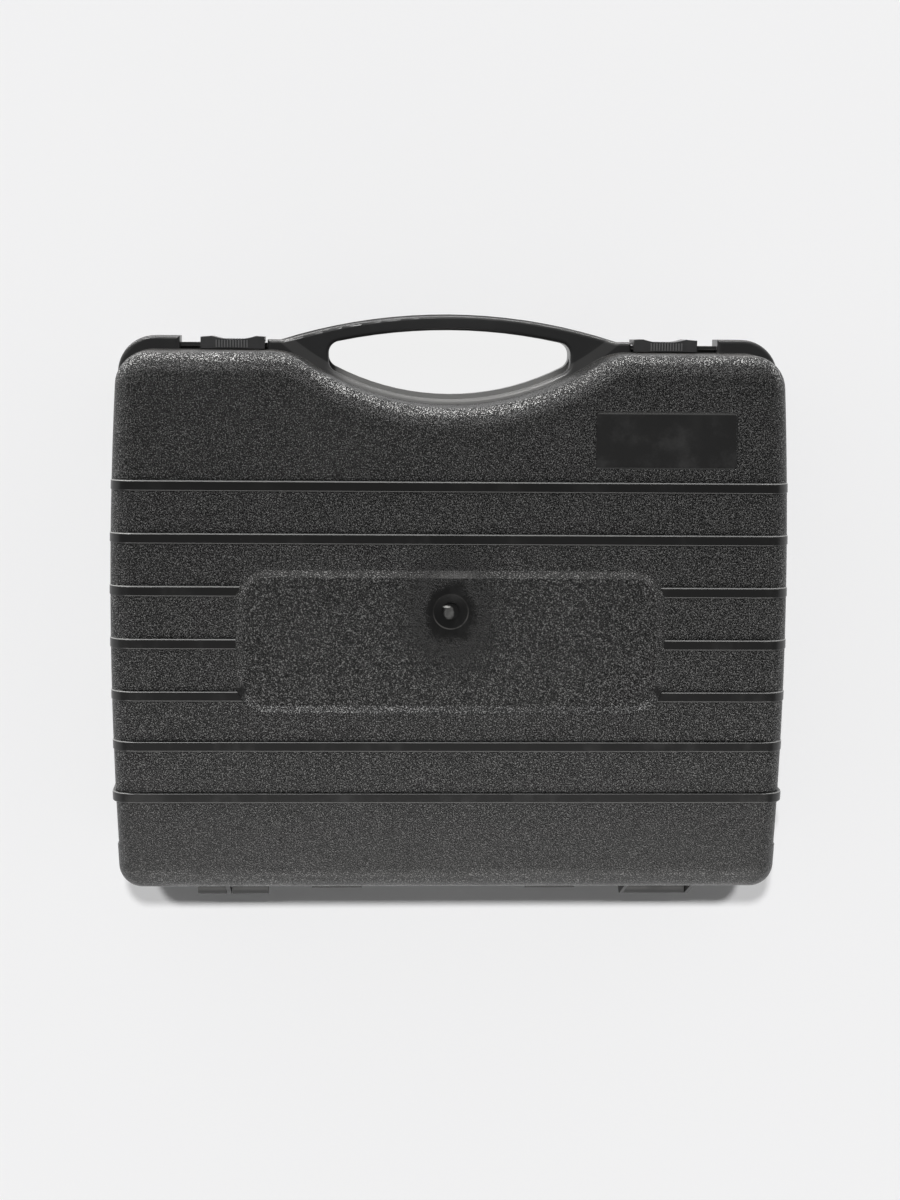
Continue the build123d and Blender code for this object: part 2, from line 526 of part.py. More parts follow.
with BuildPart() as cover_hinge_pin:
    pin_start = (LEAF_XS[0][0] - 0.5, COVER_AXIS_Y, COVER_AXIS_Z)
    rod(pin_start, (1, 0, 0), COVER_PIN_R, LEAF_XS[1][1] - LEAF_XS[0][0] + 1)
finish(cover_hinge_pin, "cover_hinge_pin")

with BuildPart() as rubber_feet:
    for foot in FEET:
        rod((*foot, TRAY_Z), (0, 0, 1), FOOT_R, BASE_Z - TRAY_Z)
        rod((*foot, TRAY_Z), (0, 0, 1), SCREW_HEAD_R + 0.7, FOOT_SCREW_Z - TRAY_Z, Mode.SUBTRACT)
        rod((*foot, TRAY_Z), (0, 0, 1), SCREW_R + SCREW_GAP, BASE_Z - TRAY_Z, Mode.SUBTRACT)
finish(rubber_feet, "rubber_feet")

with BuildPart() as foot_screws:
    for foot in FEET:
        rod((*foot, FOOT_SCREW_Z - SCREW_HEAD_H), (0, 0, 1), SCREW_HEAD_R, SCREW_HEAD_H)
        rod((*foot, FOOT_SCREW_Z), (0, 0, 1), SCREW_R, FLOOR_Z + 2.5 - FOOT_SCREW_Z)
        head_z = FOOT_SCREW_Z - SCREW_HEAD_H
        cross_slots(foot, SCREW_HEAD_R + 1, (head_z - 1, head_z + SLOT_DEPTH))
finish(foot_screws, "foot_screws")

# ==================================================================================================
# Stove: burner
# ==================================================================================================
with BuildPart() as burner_bracket:
    hat = [(-40, FLOOR_Z), (-25, FLOOR_Z), (-18, HEAD_Z[0] - SHEET), (18, HEAD_Z[0] - SHEET)]
    hat += [(25, FLOOR_Z), (40, FLOOR_Z)]
    extrude(bent_strip(upright(BURNER[1] + 10), hat, 1.5, SHEET), amount=20, dir=(0, -1, 0))
    for hole in BRACKET_SCREWS:
        rod((*hole, FLOOR_Z - 1), (0, 0, 1), SCREW_R + SCREW_GAP, 3, Mode.SUBTRACT)
finish(burner_bracket, "burner_bracket")

with BuildPart() as bracket_screws:
    for hole in BRACKET_SCREWS:
        rod((*hole, FLOOR_Z + SHEET), (0, 0, 1), SCREW_HEAD_R, SCREW_HEAD_H)
        rod((*hole, BASE_Z - 1), (0, 0, 1), SCREW_R, FLOOR_Z + SHEET - BASE_Z + 1)
        head_z = FLOOR_Z + SHEET + SCREW_HEAD_H
        cross_slots(hole, SCREW_HEAD_R + 1, (head_z - SLOT_DEPTH, head_z + 1))
finish(bracket_screws, "bracket_screws")

with BuildPart() as burner_head:
    neck_z, cup_z = HEAD_Z[0] + 16, HEAD_Z[1] - 10
    rod((*BURNER, HEAD_Z[0]), (0, 0, 1), HEAD_R - 10, neck_z - HEAD_Z[0])
    with Locations((*BURNER, (neck_z + cup_z) / 2)):
        Cone(HEAD_R - 10, HEAD_R, cup_z - neck_z)
    rod((*BURNER, cup_z), (0, 0, 1), HEAD_R, HEAD_Z[1] - cup_z)
    rod(along_gas(MIXER_RUN[1] - 10), gas_run.z_dir, MIXER_R + 2.5, 16)
    rod((*BURNER, HEAD_Z[0] + 3), (0, 0, 1), HEAD_R - 13, HEAD_Z[1], Mode.SUBTRACT)
    rod((*BURNER, cup_z - 2), (0, 0, 1), HEAD_R - 3, HEAD_Z[1], Mode.SUBTRACT)
    rod(along_gas(MIXER_RUN[1] - 11), gas_run.z_dir, MIXER_R, 18, Mode.SUBTRACT)
finish(burner_head, "burner_head")

with BuildPart() as burner_cap:
    rod((*BURNER, HEAD_Z[1]), (0, 0, 1), CAP_R, 10)
    fillet(burner_cap.faces().sort_by(Axis.Z)[-1].edges(), 3)
    rod((*BURNER, HEAD_Z[1] - 4), (0, 0, 1), HEAD_R - 3 - LOOSE, 5)
    rod((*BURNER, HEAD_Z[1] - 4), (0, 0, 1), HEAD_R - 6, 11, Mode.SUBTRACT)
    with Locations((*BURNER, HEAD_Z[1] + 4)):
        with PolarLocations(CAP_R - 4, PORTS):
            Cylinder(PORT_R, 12, rotation=(0, 90, 0), mode=Mode.SUBTRACT)
    rod((*BURNER, HEAD_Z[1] + 9), (0, 0, 1), 9, 4)
    fillet(burner_cap.faces().sort_by(Axis.Z)[-1].edges(), 2)
finish(burner_cap, "burner_cap")

with BuildPart() as mixing_tube:
    run = MIXER_RUN[1] - MIXER_RUN[0]
    mouth = 10
    for shrink, mode in ((0, Mode.ADD), (MIXER_T, Mode.SUBTRACT)):
        rod(along_gas(MIXER_RUN[0]), gas_run.z_dir, MIXER_R - shrink, run, mode)
        with Locations(gas_run.offset(MIXER_RUN[0] + mouth / 2)):
            Cone(MIXER_R + 3 - shrink, MIXER_R - shrink, mouth, mode=mode)
finish(mixing_tube, "mixing_tube")

with BuildPart() as electrode_bracket:
    towards_electrode = (*polar(1, ELECTRODE_ANGLE), 0)
    with BuildSketch(Plane(origin=(*BURNER, cup_z + 3), x_dir=towards_electrode, z_dir=(0, 0, 1))):
        with Locations((HEAD_R + 6, 0)):
            Rectangle(14, 9)
        Circle(HEAD_R, mode=Mode.SUBTRACT)
        with Locations((ELECTRODE_R, 0)):
            Circle(CERAMIC_R, mode=Mode.SUBTRACT)
    extrude(amount=1.2)
finish(electrode_bracket, "electrode_bracket")

with BuildPart() as electrode_ceramic:
    rod((*ELECTRODE, CERAMIC_Z[0]), (0, 0, 1), CERAMIC_R, CERAMIC_Z[1] - CERAMIC_Z[0])
    rod((*ELECTRODE, CERAMIC_Z[0]), (0, 0, 1), ROD_R, CERAMIC_Z[1], Mode.SUBTRACT)
finish(electrode_ceramic, "electrode_ceramic")

with BuildPart() as spark_electrode:
    rod((*ELECTRODE, CERAMIC_Z[0] - 4), (0, 0, 1), ROD_R, CERAMIC_Z[1] + 13 - CERAMIC_Z[0])
finish(spark_electrode, "spark_electrode")

# ==================================================================================================
# Stove: gas line
# ==================================================================================================
with BuildPart() as regulator_body:
    rod((CARTRIDGE_X, REGULATOR_Y[0], CARTRIDGE_Z), (0, 1, 0), REGULATOR_R, REGULATOR_Y[1] - REGULATOR_Y[0])
    rod((CARTRIDGE_X, REGULATOR_Y[0] - 4, CARTRIDGE_Z), (0, 1, 0), STEM_R + 5, 5)
    rod((CARTRIDGE_X, REGULATOR_Y[1] - 1, CARTRIDGE_Z), (0, 1, 0), SOCKET_R + 4, 7)
    rod((CARTRIDGE_X, DIAPHRAGM_Y, CARTRIDGE_Z), (0, 0, 1), DIAPHRAGM_R - 7, 12)
    rod((CARTRIDGE_X, DIAPHRAGM_Y, DIAPHRAGM_Z - 6), (0, 0, 1), DIAPHRAGM_R, 6)
    rod(along_gas(-28), gas_run.z_dir, MIXER_R - 1, 28)
    leg_y = (REGULATOR_Y[0] + 5, REGULATOR_Y[1] - 9)
    block((CARTRIDGE_X - 9, CARTRIDGE_X + 9), leg_y, (FLOOR_Z, CARTRIDGE_Z - 5))
    rod((CARTRIDGE_X, REGULATOR_Y[0] - 5, CARTRIDGE_Z), (0, 1, 0), STEM_R + PIN_PLAY, 14, Mode.SUBTRACT)
    rod((CARTRIDGE_X, REGULATOR_Y[1] - 6, CARTRIDGE_Z), (0, 1, 0), SOCKET_R, 20, Mode.SUBTRACT)
    with Locations((CARTRIDGE_X, DIAPHRAGM_Y, DIAPHRAGM_Z - 2)):
        with PolarLocations(DIAPHRAGM_R - 3, 4):
            Cylinder(COVER_SCREW_R, 6, mode=Mode.SUBTRACT)
finish(regulator_body, "regulator_body")

with BuildPart() as regulator_cover:
    rod((CARTRIDGE_X, DIAPHRAGM_Y, DIAPHRAGM_Z), (0, 0, 1), DIAPHRAGM_R, 2)
    rod((CARTRIDGE_X, DIAPHRAGM_Y, DIAPHRAGM_Z + 2), (0, 0, 1), DIAPHRAGM_R - 6.5, 3)
    fillet(regulator_cover.faces().sort_by(Axis.Z)[-1].edges(), 2)
    with Locations((CARTRIDGE_X, DIAPHRAGM_Y, DIAPHRAGM_Z + 1)):
        with PolarLocations(DIAPHRAGM_R - 3, 4):
            Cylinder(COVER_SCREW_R, 4, mode=Mode.SUBTRACT)
finish(regulator_cover, "regulator_cover")

with BuildPart() as regulator_screws:
    with Locations((CARTRIDGE_X, DIAPHRAGM_Y, DIAPHRAGM_Z - 1)):
        with PolarLocations(DIAPHRAGM_R - 3, 4):
            Cylinder(COVER_SCREW_R - SCREW_GAP, 6)
    with Locations((CARTRIDGE_X, DIAPHRAGM_Y, DIAPHRAGM_Z + 2.75)):
        with PolarLocations(DIAPHRAGM_R - 3, 4):
            Cylinder(2 * COVER_SCREW_R - LOOSE, 1.5)
    for quarter in range(4):
        head = polar(DIAPHRAGM_R - 3, 90 * quarter, (CARTRIDGE_X, DIAPHRAGM_Y))
        head_z = DIAPHRAGM_Z + 3.5
        cross_slots(head, 2 * COVER_SCREW_R, (head_z - SLOT_DEPTH, head_z + 1))
finish(regulator_screws, "regulator_screws")

with BuildPart() as gas_jet:
    rod(along_gas(0), gas_run.z_dir, 4, 14)
    with Locations(gas_run.offset(19)):
        Cone(3.5, 1.5, 10)
    rod(along_gas(0), gas_run.z_dir, 0.4, 24, Mode.SUBTRACT)
finish(gas_jet, "gas_jet")

with BuildPart() as cartridge_guide:
    block((CARTRIDGE_X - 31, CARTRIDGE_X + 31), GUIDE_Y, (FLOOR_Z, CARTRIDGE_Z + 26))
    block((CARTRIDGE_X - 31, CARTRIDGE_X + 31), (GUIDE_Y[1], GUIDE_Y[1] + 8), (FLOOR_Z, FLOOR_Z + SHEET))
    rod((CARTRIDGE_X, GUIDE_Y[0] - 1, CARTRIDGE_Z), (0, 1, 0), 13, 4, Mode.SUBTRACT)
    notch_y = (GUIDE_Y[0] - 1, GUIDE_Y[1] + 1)
    block((CARTRIDGE_X - 13, CARTRIDGE_X + 13), notch_y, (CARTRIDGE_Z, TOP_Z), Mode.SUBTRACT)
finish(cartridge_guide, "cartridge_guide")

with BuildPart() as heat_plate:
    block(HEAT_X, HEAT_Y, (FLOOR_Z, FLOOR_Z + HEAT_T))
    block(HEAT_PAD_X, HEAT_PAD_Y, (FLOOR_Z, FLOOR_Z + HEAT_T))
    block((HEAT_X[0], HEAT_X[0] + HEAT_T), HEAT_Y, (FLOOR_Z, HEAD_Z[1] - 14))
finish(heat_plate, "heat_plate")

# ==================================================================================================
# Stove: knob and igniter
# ==================================================================================================
knob_face = Plane.XZ.offset(-KNOB_Y)
knob_centre = (CARTRIDGE_X, CARTRIDGE_Z)

with BuildPart() as valve_stem:
    rod((CARTRIDGE_X, STEM_Y[0], CARTRIDGE_Z), (0, 1, 0), STEM_R, STEM_Y[1] - STEM_Y[0])
finish(valve_stem, "valve_stem")

with BuildPart() as control_knob:
    with BuildSketch(knob_face):
        with Locations(knob_centre):
            Circle(KNOB_R)
    extrude(amount=4)
    fillet(control_knob.faces().sort_by(Axis.Y)[0].edges(), 1.5)
    with BuildSketch(knob_face):
        with Locations(knob_centre):
            Circle(KNOB_R - 1.5)
            Rectangle(10, 2 * KNOB_R, mode=Mode.INTERSECT)
    extrude(amount=20)
    fillet(control_knob.faces().sort_by(Axis.Y)[0].edges(), 1.5)
    rod((CARTRIDGE_X, STOVE_Y[0] - 0.5, CARTRIDGE_Z), (0, -1, 0), STEM_R + 4, 3)
    rod((CARTRIDGE_X, STEM_Y[0], CARTRIDGE_Z), (0, 1, 0), STEM_R, 20, Mode.SUBTRACT)
    block(
        (CARTRIDGE_X - 0.6, CARTRIDGE_X + 0.6),
        (KNOB_Y - 20.4, KNOB_Y - 19.5),
        (CARTRIDGE_Z + 5, CARTRIDGE_Z + KNOB_R - 4),
    )
finish(control_knob, "control_knob")

with BuildPart() as dial_plate:
    with BuildSketch(Plane.XZ.offset(-STOVE_Y[0])):
        with Locations(knob_centre):
            Circle(KNOB_R + 7)
            Circle(STEM_R + 6, mode=Mode.SUBTRACT)
    extrude(amount=1.2)
    with BuildSketch(Plane.XZ.offset(-STOVE_Y[0] + 1.2)):
        for mark in range(DIAL_MARKS):
            with Locations(polar(KNOB_R + 3.5, 90 + KNOB_TURN * mark / (DIAL_MARKS - 1), knob_centre)):
                Circle(0.8 + 0.12 * mark)
    extrude(amount=0.3)
finish(dial_plate, "dial_plate")

with BuildPart() as igniter_cam:
    with BuildSketch(Plane.XZ.offset(-CAM_Y[1])):
        with BuildLine():
            steps = [KNOB_TURN * step / 8 for step in range(9)]
            lift = [polar(CAM_R + CAM_LIFT * turn / KNOB_TURN, -90 - turn, knob_centre) for turn in steps]
            Spline(*lift)
            back = polar(CAM_R + CAM_LIFT / 2, (-KNOB_TURN - 360) / 2 - 90, knob_centre)
            ThreePointArc(lift[-1], back, lift[0])
        make_face()
        with Locations(knob_centre):
            Circle(STEM_R, mode=Mode.SUBTRACT)
    extrude(amount=CAM_Y[1] - CAM_Y[0])
finish(igniter_cam, "igniter_cam")

plunger_top = (CARTRIDGE_X, sum(CAM_Y) / 2, CARTRIDGE_Z - CAM_R - LOOSE)

with BuildPart() as igniter_plunger:
    rod(plunger_top, (0, 0, -1), PLUNGER_R, 16)
    fillet(igniter_plunger.faces().sort_by(Axis.Z)[-1].edges(), 0.9 * PLUNGER_R)
finish(igniter_plunger, "igniter_plunger")

with BuildPart() as piezo_igniter:
    block(IGNITER_X, IGNITER_Y, (FLOOR_Z, IGNITER_TOP))
    rod((*plunger_top[:2], FLOOR_Z + 4), (0, 0, 1), PLUNGER_R + LOOSE, IGNITER_TOP, Mode.SUBTRACT)
finish(piezo_igniter, "piezo_igniter")

# The lead lies on the stove's floor, held between the igniter and the electrode.
wire_points = [
    (IGNITER_X[0], -98, WIRE_Z),
    (100, -98, WIRE_Z),
    (40, -66, WIRE_Z),
    (-8, -40, WIRE_Z),
    (*ELECTRODE, WIRE_Z),
    (*ELECTRODE, CERAMIC_Z[0] - 4),
]


def bend_radii(points):
    """The largest even radii that each corner of a route leaves room for."""
    radii = []
    for before, corner, after in zip(points, points[1:], points[2:]):
        first, second = Vector(corner) - Vector(before), Vector(after) - Vector(corner)
        half_turn = radians(first.get_angle(second)) / 2
        radii.append(0.45 * min(first.length, second.length) / tan(half_turn))
    return radii


wire_radii = bend_radii(wire_points)
print("ignition wire radii", [round(radius, 1) for radius in wire_radii])

with BuildPart() as ignition_wire:
    with BuildLine() as route:
        FilletPolyline(*wire_points, radius=wire_radii)
    with BuildSketch(route.line ^ 0):
        Circle(WIRE_R)
    sweep()
finish(ignition_wire, "ignition_wire")

# ==================================================================================================
# Stove: cartridge lock
# ==================================================================================================
with BuildPart() as lock_lever:
    block(LEVER_X, LEVER_Y, LEVER_Z)
    block((lever_x - 2.6, lever_x + 2.6), (STOVE_Y[0] - 14, LEVER_Y[1]), LEVER_TAB_Z)
    block((lever_x - 0.6, lever_x + 0.6), (LEVER_Y[0], LOCK_PIN_Y + 3), (LOCK_PIN_Z - 6, LOCK_PIN_Z + 6))
    pin_start = (lever_x, LOCK_PIN_Y, LOCK_PIN_Z)
    rod(pin_start, (-1, 0, 0), LOCK_PIN_R, lever_x - PUSH_BAR_X[0] + 1)
finish(lock_lever, "lock_lever")

with BuildPart() as lever_cap:
    cap_z = sum(LEVER_TAB_Z) / 2
    block((lever_x - 6.5, lever_x + 6.5), (STOVE_Y[0] - 17, STOVE_Y[0] - 3), (cap_z - 6.5, cap_z + 6.5))
    fillet(lever_cap.edges(), 2)
    block((lever_x - 2.6, lever_x + 2.6), (STOVE_Y[0] - 14, STOVE_Y[0]), LEVER_TAB_Z, Mode.SUBTRACT)
finish(lever_cap, "lever_cap")

with BuildPart() as lever_guides:
    for side in (-1, 1):
        edge = lever_x + side * (LEVER_X[1] - lever_x)
        post_x = sorted((edge + side * LOOSE, edge + side * 2))
        lip_x = sorted((edge + side * LOOSE, edge - side * 2))
        block(post_x, (inner_y[0], LEVER_Y[1] + 1.4), (LEVER_Z[0] - 17, LEVER_Z[1] + 2))
        block(lip_x, (LEVER_Y[1] + LOOSE, LEVER_Y[1] + 1.4), (LEVER_Z[0] - 17, LEVER_Z[1] + 2))
finish(lever_guides, "lever_guides")

with BuildPart() as cartridge_pusher:
    block(PUSH_BAR_X, (LOCK_PIN_Y - 6, PUSH_PLATE_Y[1]), PUSH_BAR_Z)
    block(PUSH_BAR_X, (LOCK_PIN_Y - 6, LOCK_PIN_Y + 14), (PUSH_BAR_Z[0], LOCK_PIN_Z + 6))
    block((PUSH_BAR_X[0], 150), PUSH_PLATE_Y, (PUSH_BAR_Z[0], CARTRIDGE_Z + 15))
    with BuildSketch(Plane.YZ.offset(PUSH_BAR_X[0])):
        slot_middle = (LOCK_PIN_Y + PUSH_TRAVEL / 2, LOCK_PIN_Z - LEVER_TRAVEL / 2)
        with Locations(slot_middle):
            slot_length = sqrt(PUSH_TRAVEL**2 + LEVER_TRAVEL**2) + 2 * LOOSE
            slot_turn = -degrees(atan2(LEVER_TRAVEL, PUSH_TRAVEL))
            SlotCenterToCenter(slot_length, 2 * (LOCK_PIN_R + LOOSE), rotation=slot_turn)
    extrude(amount=PUSH_BAR_X[1] - PUSH_BAR_X[0], mode=Mode.SUBTRACT)
finish(cartridge_pusher, "cartridge_pusher")

with BuildPart() as pusher_guides:
    for guide_y in PUSH_GUIDES:
        guide = (guide_y - 5, guide_y + 5)
        block((PARTITION_X[1], PUSH_BAR_X[1] + 1.4), guide, (PUSH_BAR_Z[0] - 1.4, PUSH_BAR_Z[1] + 1.4))
        hollow_x = (PUSH_BAR_X[0] - LOOSE, PUSH_BAR_X[1] + LOOSE)
        block(hollow_x, guide, (PUSH_BAR_Z[0] - LOOSE, PUSH_BAR_Z[1] + LOOSE), Mode.SUBTRACT)
finish(pusher_guides, "pusher_guides")
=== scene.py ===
# %% [markdown]
# # A camping stove in its carrying case
# The object is a portable gas stove packed in a moulded plastic case. The engineering model already
# has every part at its real size, so this lesson gives those parts their finishes: grained
# polypropylene, enamelled steel, castings, brass and rubber. Everything stays in metres, in the frame
# of the loaded model: X across the case, Y from the handle to the hinge, Z up through the lid.

# %% load the parts
import math
from types import SimpleNamespace

import bpy
from mathutils import Matrix, Vector


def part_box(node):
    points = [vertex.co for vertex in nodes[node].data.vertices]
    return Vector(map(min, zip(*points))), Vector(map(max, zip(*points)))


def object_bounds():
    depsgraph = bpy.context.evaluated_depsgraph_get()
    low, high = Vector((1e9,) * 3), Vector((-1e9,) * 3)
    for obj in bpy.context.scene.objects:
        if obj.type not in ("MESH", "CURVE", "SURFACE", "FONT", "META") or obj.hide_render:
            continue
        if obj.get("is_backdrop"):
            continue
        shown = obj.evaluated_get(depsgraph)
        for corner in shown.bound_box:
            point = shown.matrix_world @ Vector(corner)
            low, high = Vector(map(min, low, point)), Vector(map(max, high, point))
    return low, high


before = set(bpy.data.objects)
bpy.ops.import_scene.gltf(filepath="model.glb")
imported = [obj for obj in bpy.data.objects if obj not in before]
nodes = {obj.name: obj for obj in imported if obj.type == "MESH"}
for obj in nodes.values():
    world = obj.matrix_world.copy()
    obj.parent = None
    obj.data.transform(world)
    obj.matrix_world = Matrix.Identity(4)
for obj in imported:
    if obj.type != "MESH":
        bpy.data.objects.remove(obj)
model_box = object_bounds()

# %% [markdown]
# ## The camera
# The case is seen as it would stand on a shelf, so the camera looks down on the lid from above the
# handle side. A camera could be turned by hand until it looks right, but three small angles and a
# distance say the same thing exactly: a tilt towards the handle, a step to one side and a slight roll.

# %% camera
MM = 0.001
CAMERA_DISTANCE = 1.300
CAMERA_TILT, CAMERA_SIDE, CAMERA_ROLL = (math.radians(angle) for angle in (7.0, -2.6, 0.50))
LENS_MM, SENSOR_MM = 72.9, 36.0
SHIFT_DOWN = 0.0142
LOOK_Y, LOOK_UNDER_LID = -0.5 * MM, 12 * MM


def unit(x, y, z):
    """A direction of length one."""
    return Vector((x, y, z)).normalized()


def aim(thing, forward, upward):
    """Turn a camera or a lamp so that it looks along forward with upward at the top."""
    back = -forward.normalized()
    right = upward.cross(back).normalized()
    top = back.cross(right)
    turn = Matrix((right, top, back)).transposed()
    thing.rotation_mode = "QUATERNION"
    thing.rotation_quaternion = turn.to_quaternion()


lid_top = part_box("front_shell")[1].z
look_at = Vector((0, LOOK_Y, lid_top - LOOK_UNDER_LID))
away = Vector((
    -math.sin(CAMERA_SIDE) * math.cos(CAMERA_TILT),
    -math.sin(CAMERA_TILT),
    math.cos(CAMERA_SIDE) * math.cos(CAMERA_TILT),
))
top_of_view = Vector((0, -1, 0))
level_right = top_of_view.cross(away).normalized()
level_top = away.cross(level_right)

camera_data = bpy.data.cameras.new("camera")
camera_data.lens, camera_data.sensor_width = LENS_MM, SENSOR_MM
camera_data.shift_y = SHIFT_DOWN
camera = bpy.data.objects.new("camera", camera_data)
bpy.context.scene.collection.objects.link(camera)
camera.location = look_at + away * CAMERA_DISTANCE
aim(camera, -away, level_top * math.cos(CAMERA_ROLL) - level_right * math.sin(CAMERA_ROLL))
bpy.context.scene.camera = camera
print("camera at", [round(value, 4) for value in camera.location])

# %% [markdown]
# ## Small words for shader nodes
# A material in Blender is a tree of nodes. It could be drawn by hand in the shader editor, but a tree
# written in code can be read, repeated and measured. A few short functions stand for the steps that
# come back in every finish: arithmetic, vectors, a smooth threshold, a mix of colours, soft noise and
# relief. Each one adds its nodes to a tree and returns the last one's output, so calls can be nested.

# %% nodes and arithmetic


def node(tree, kind, inputs=None, **settings):
    """Add a shader node. An input is a plain value or the output of another node."""
    made = tree.nodes.new("ShaderNode" + kind)
    for name, value in settings.items():
        setattr(made, name, value)
    for key, value in (inputs or {}).items():
        if isinstance(value, bpy.types.NodeSocket):
            tree.links.new(value, made.inputs[key])
        else:
            made.inputs[key].default_value = value
    return made


def calc(tree, operation, *values):
    """One step of arithmetic on numbers or outputs."""
    return node(tree, "Math", dict(enumerate(values)), operation=operation).outputs[0]


def multiply(tree, product, *others):
    """The product of numbers or outputs, from left to right."""
    for other in others:
        product = calc(tree, "MULTIPLY", product, other)
    return product


def unsigned(tree, value):
    """A number or an output without its sign."""
    return calc(tree, "ABSOLUTE", value)


def gap_to(tree, value, middle):
    """How far a value lies from a middle, either way."""
    return unsigned(tree, calc(tree, "SUBTRACT", value, middle))


# %% vectors


def vector(tree, operation, *values):
    """One step of arithmetic on vectors that gives a vector."""
    return node(tree, "VectorMath", dict(enumerate(values)), operation=operation).outputs[0]


def measure(tree, operation, *values):
    """One step of arithmetic on vectors that gives a number."""
    return node(tree, "VectorMath", dict(enumerate(values)), operation=operation).outputs["Value"]


def coordinates(tree, place):
    """The three numbers of a vector."""
    return node(tree, "SeparateXYZ", {0: place}).outputs[:3]


# %% thresholds and colours


def remap(tree, value, low, high, to_low=0.0, to_high=1.0):
    """Map low..high smoothly to to_low..to_high, and hold the ends."""
    numbers = {"Value": value, "From Min": low, "From Max": high, "To Min": to_low, "To Max": to_high}
    return node(tree, "MapRange", numbers, interpolation_type="SMOOTHSTEP").outputs[0]


def blend(tree, amount, first, second):
    """Mix two colours."""
    made = node(tree, "Mix", {0: amount}, data_type="RGBA")
    for slot, value in ((6, first), (7, second)):
        if isinstance(value, bpy.types.NodeSocket):
            tree.links.new(value, made.inputs[slot])
        else:
            made.inputs[slot].default_value = (*value, 1)
    return made.outputs[2]


def lay(tree, body, coats):
    """Lay coats over a body in turn. A coat is where it lies, from 0 to 1, and its colour."""
    for amount, colour in coats:
        body = blend(tree, amount, body, colour)
    return body


# %% noise and relief


def cloud(tree, place, scale, detail=2.0, rough=0.5):
    """Soft noise between 0 and 1 at a number of lumps to the metre."""
    numbers = {"Vector": place, "Scale": scale, "Detail": detail, "Roughness": rough}
    return node(tree, "TexNoise", numbers).outputs[0]


def stretched(tree, place, scale):
    """The place scaled along each axis, which draws noise out along the smaller ones."""
    return node(tree, "Mapping", {"Vector": place, "Scale": scale}).outputs[0]


def relief(tree, height, depth):
    """The surface's direction once a height from 0 to 1 raises it by up to depth."""
    return node(tree, "Bump", {"Height": height, "Strength": 1.0, "Distance": depth}).outputs[0]


# %% materials


def new_material(name):
    """An empty material with its tree and the place on the part in metres."""
    material = bpy.data.materials.new(name)
    material.use_nodes = True
    tree = material.node_tree
    tree.nodes.clear()
    place = node(tree, "TexCoord").outputs["Object"]
    return material, tree, place


def surface(tree, inputs):
    """The plastic, paint or metal itself, joined to the material's output."""
    shader = node(tree, "BsdfPrincipled", inputs)
    node(tree, "OutputMaterial", {"Surface": shader.outputs[0]})


# %% [markdown]
# ## Floor and light
# A pale floor and a room that is pale at its walls and dim above show the case plainly. Black plastic
# only shows its shape by what it reflects, so three lamps are linked to the parts alone: a sun from
# the handle side, a strip that stands lower than the lid's face and draws the rounded edges, and a
# pale board past the hinge that lifts the hinge side of the lid, as a white table does. Two suns of
# the floor's own leave a narrow shadow below the hinge. The case shades the floor below its hand
# hole, so that patch of floor glows evenly and keeps the hole's outline clear.

# %% floor
FLOOR_REACH = 6.0
scene = bpy.context.scene
corners = [(x * FLOOR_REACH, y * FLOOR_REACH, 0) for x, y in ((-1, -1), (1, -1), (1, 1), (-1, 1))]
floor_mesh = bpy.data.meshes.new("floor")
floor_mesh.from_pydata(corners, [], [(0, 1, 2, 3)])
floor = bpy.data.objects.new("floor", floor_mesh)
scene.collection.objects.link(floor)
floor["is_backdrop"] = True
print("floor reaches", FLOOR_REACH, "m each way")

# %% floor finish
FLOOR_GREY = (0.90, 0.90, 0.905)
FLOOR_SHADE = 0.995
HOLE_GLOW = (0.86, 0.86, 0.86)
HOLE_ARCS = ((137.3 * MM, 292.5 * MM), (-253 * MM, 140.5 * MM))
HOLE_HALF, HOLE_EDGE = 71 * MM, (0.4 * MM, -0.4 * MM)


def below_hole(tree, place):
    """1 on the floor below the hand hole, which two arcs and two ends bound."""
    past = calc(tree, "SUBTRACT", unsigned(tree, coordinates(tree, place)[0]), HOLE_HALF)
    for middle, radius in HOLE_ARCS:
        from_arc = measure(tree, "DISTANCE", place, (0, middle, 0))
        past = calc(tree, "MAXIMUM", past, calc(tree, "SUBTRACT", from_arc, radius))
    return remap(tree, past, *HOLE_EDGE)


floor_finish, tree, place = new_material("floor_finish")
shade = tuple(FLOOR_SHADE * value for value in FLOOR_GREY)
paper = blend(tree, cloud(tree, place, scale=3.0), FLOOR_GREY, shade)
ray = node(tree, "LightPath").outputs
seen = calc(tree, "MAXIMUM", ray["Is Camera Ray"], ray["Is Glossy Ray"])
glow = multiply(tree, below_hole(tree, place), seen)
paper = blend(tree, glow, paper, (0, 0, 0))
surface(tree, {
    "Base Color": paper,
    "Roughness": 0.9,
    "Specular IOR Level": 0.1,
    "Emission Color": (*HOLE_GLOW, 1),
    "Emission Strength": glow,
})
floor_mesh.materials.append(floor_finish)
print("floor finish has", len(tree.nodes), "nodes")

# %% room
WALL_LIGHT, CEILING_LIGHT = 0.80, 0.12
WALL_END, CEILING_START = 0.20, 0.42

world = bpy.data.worlds.new("sky")
scene.world = world
world.use_nodes = True
sky = world.node_tree
room = sky.nodes["Background"]
room.inputs[0].default_value = (1, 1, 1, 1)
upward = coordinates(sky, node(sky, "TexCoord").outputs["Generated"])[2]
room_light = remap(sky, upward, WALL_END, CEILING_START, to_low=WALL_LIGHT, to_high=CEILING_LIGHT)
sky.links.new(room_light, room.inputs[1])
print("walls", WALL_LIGHT, "and ceiling", CEILING_LIGHT)

# %% lamps
parts_lit = bpy.data.collections.new("parts_lit")
for part in nodes.values():
    parts_lit.objects.link(part)


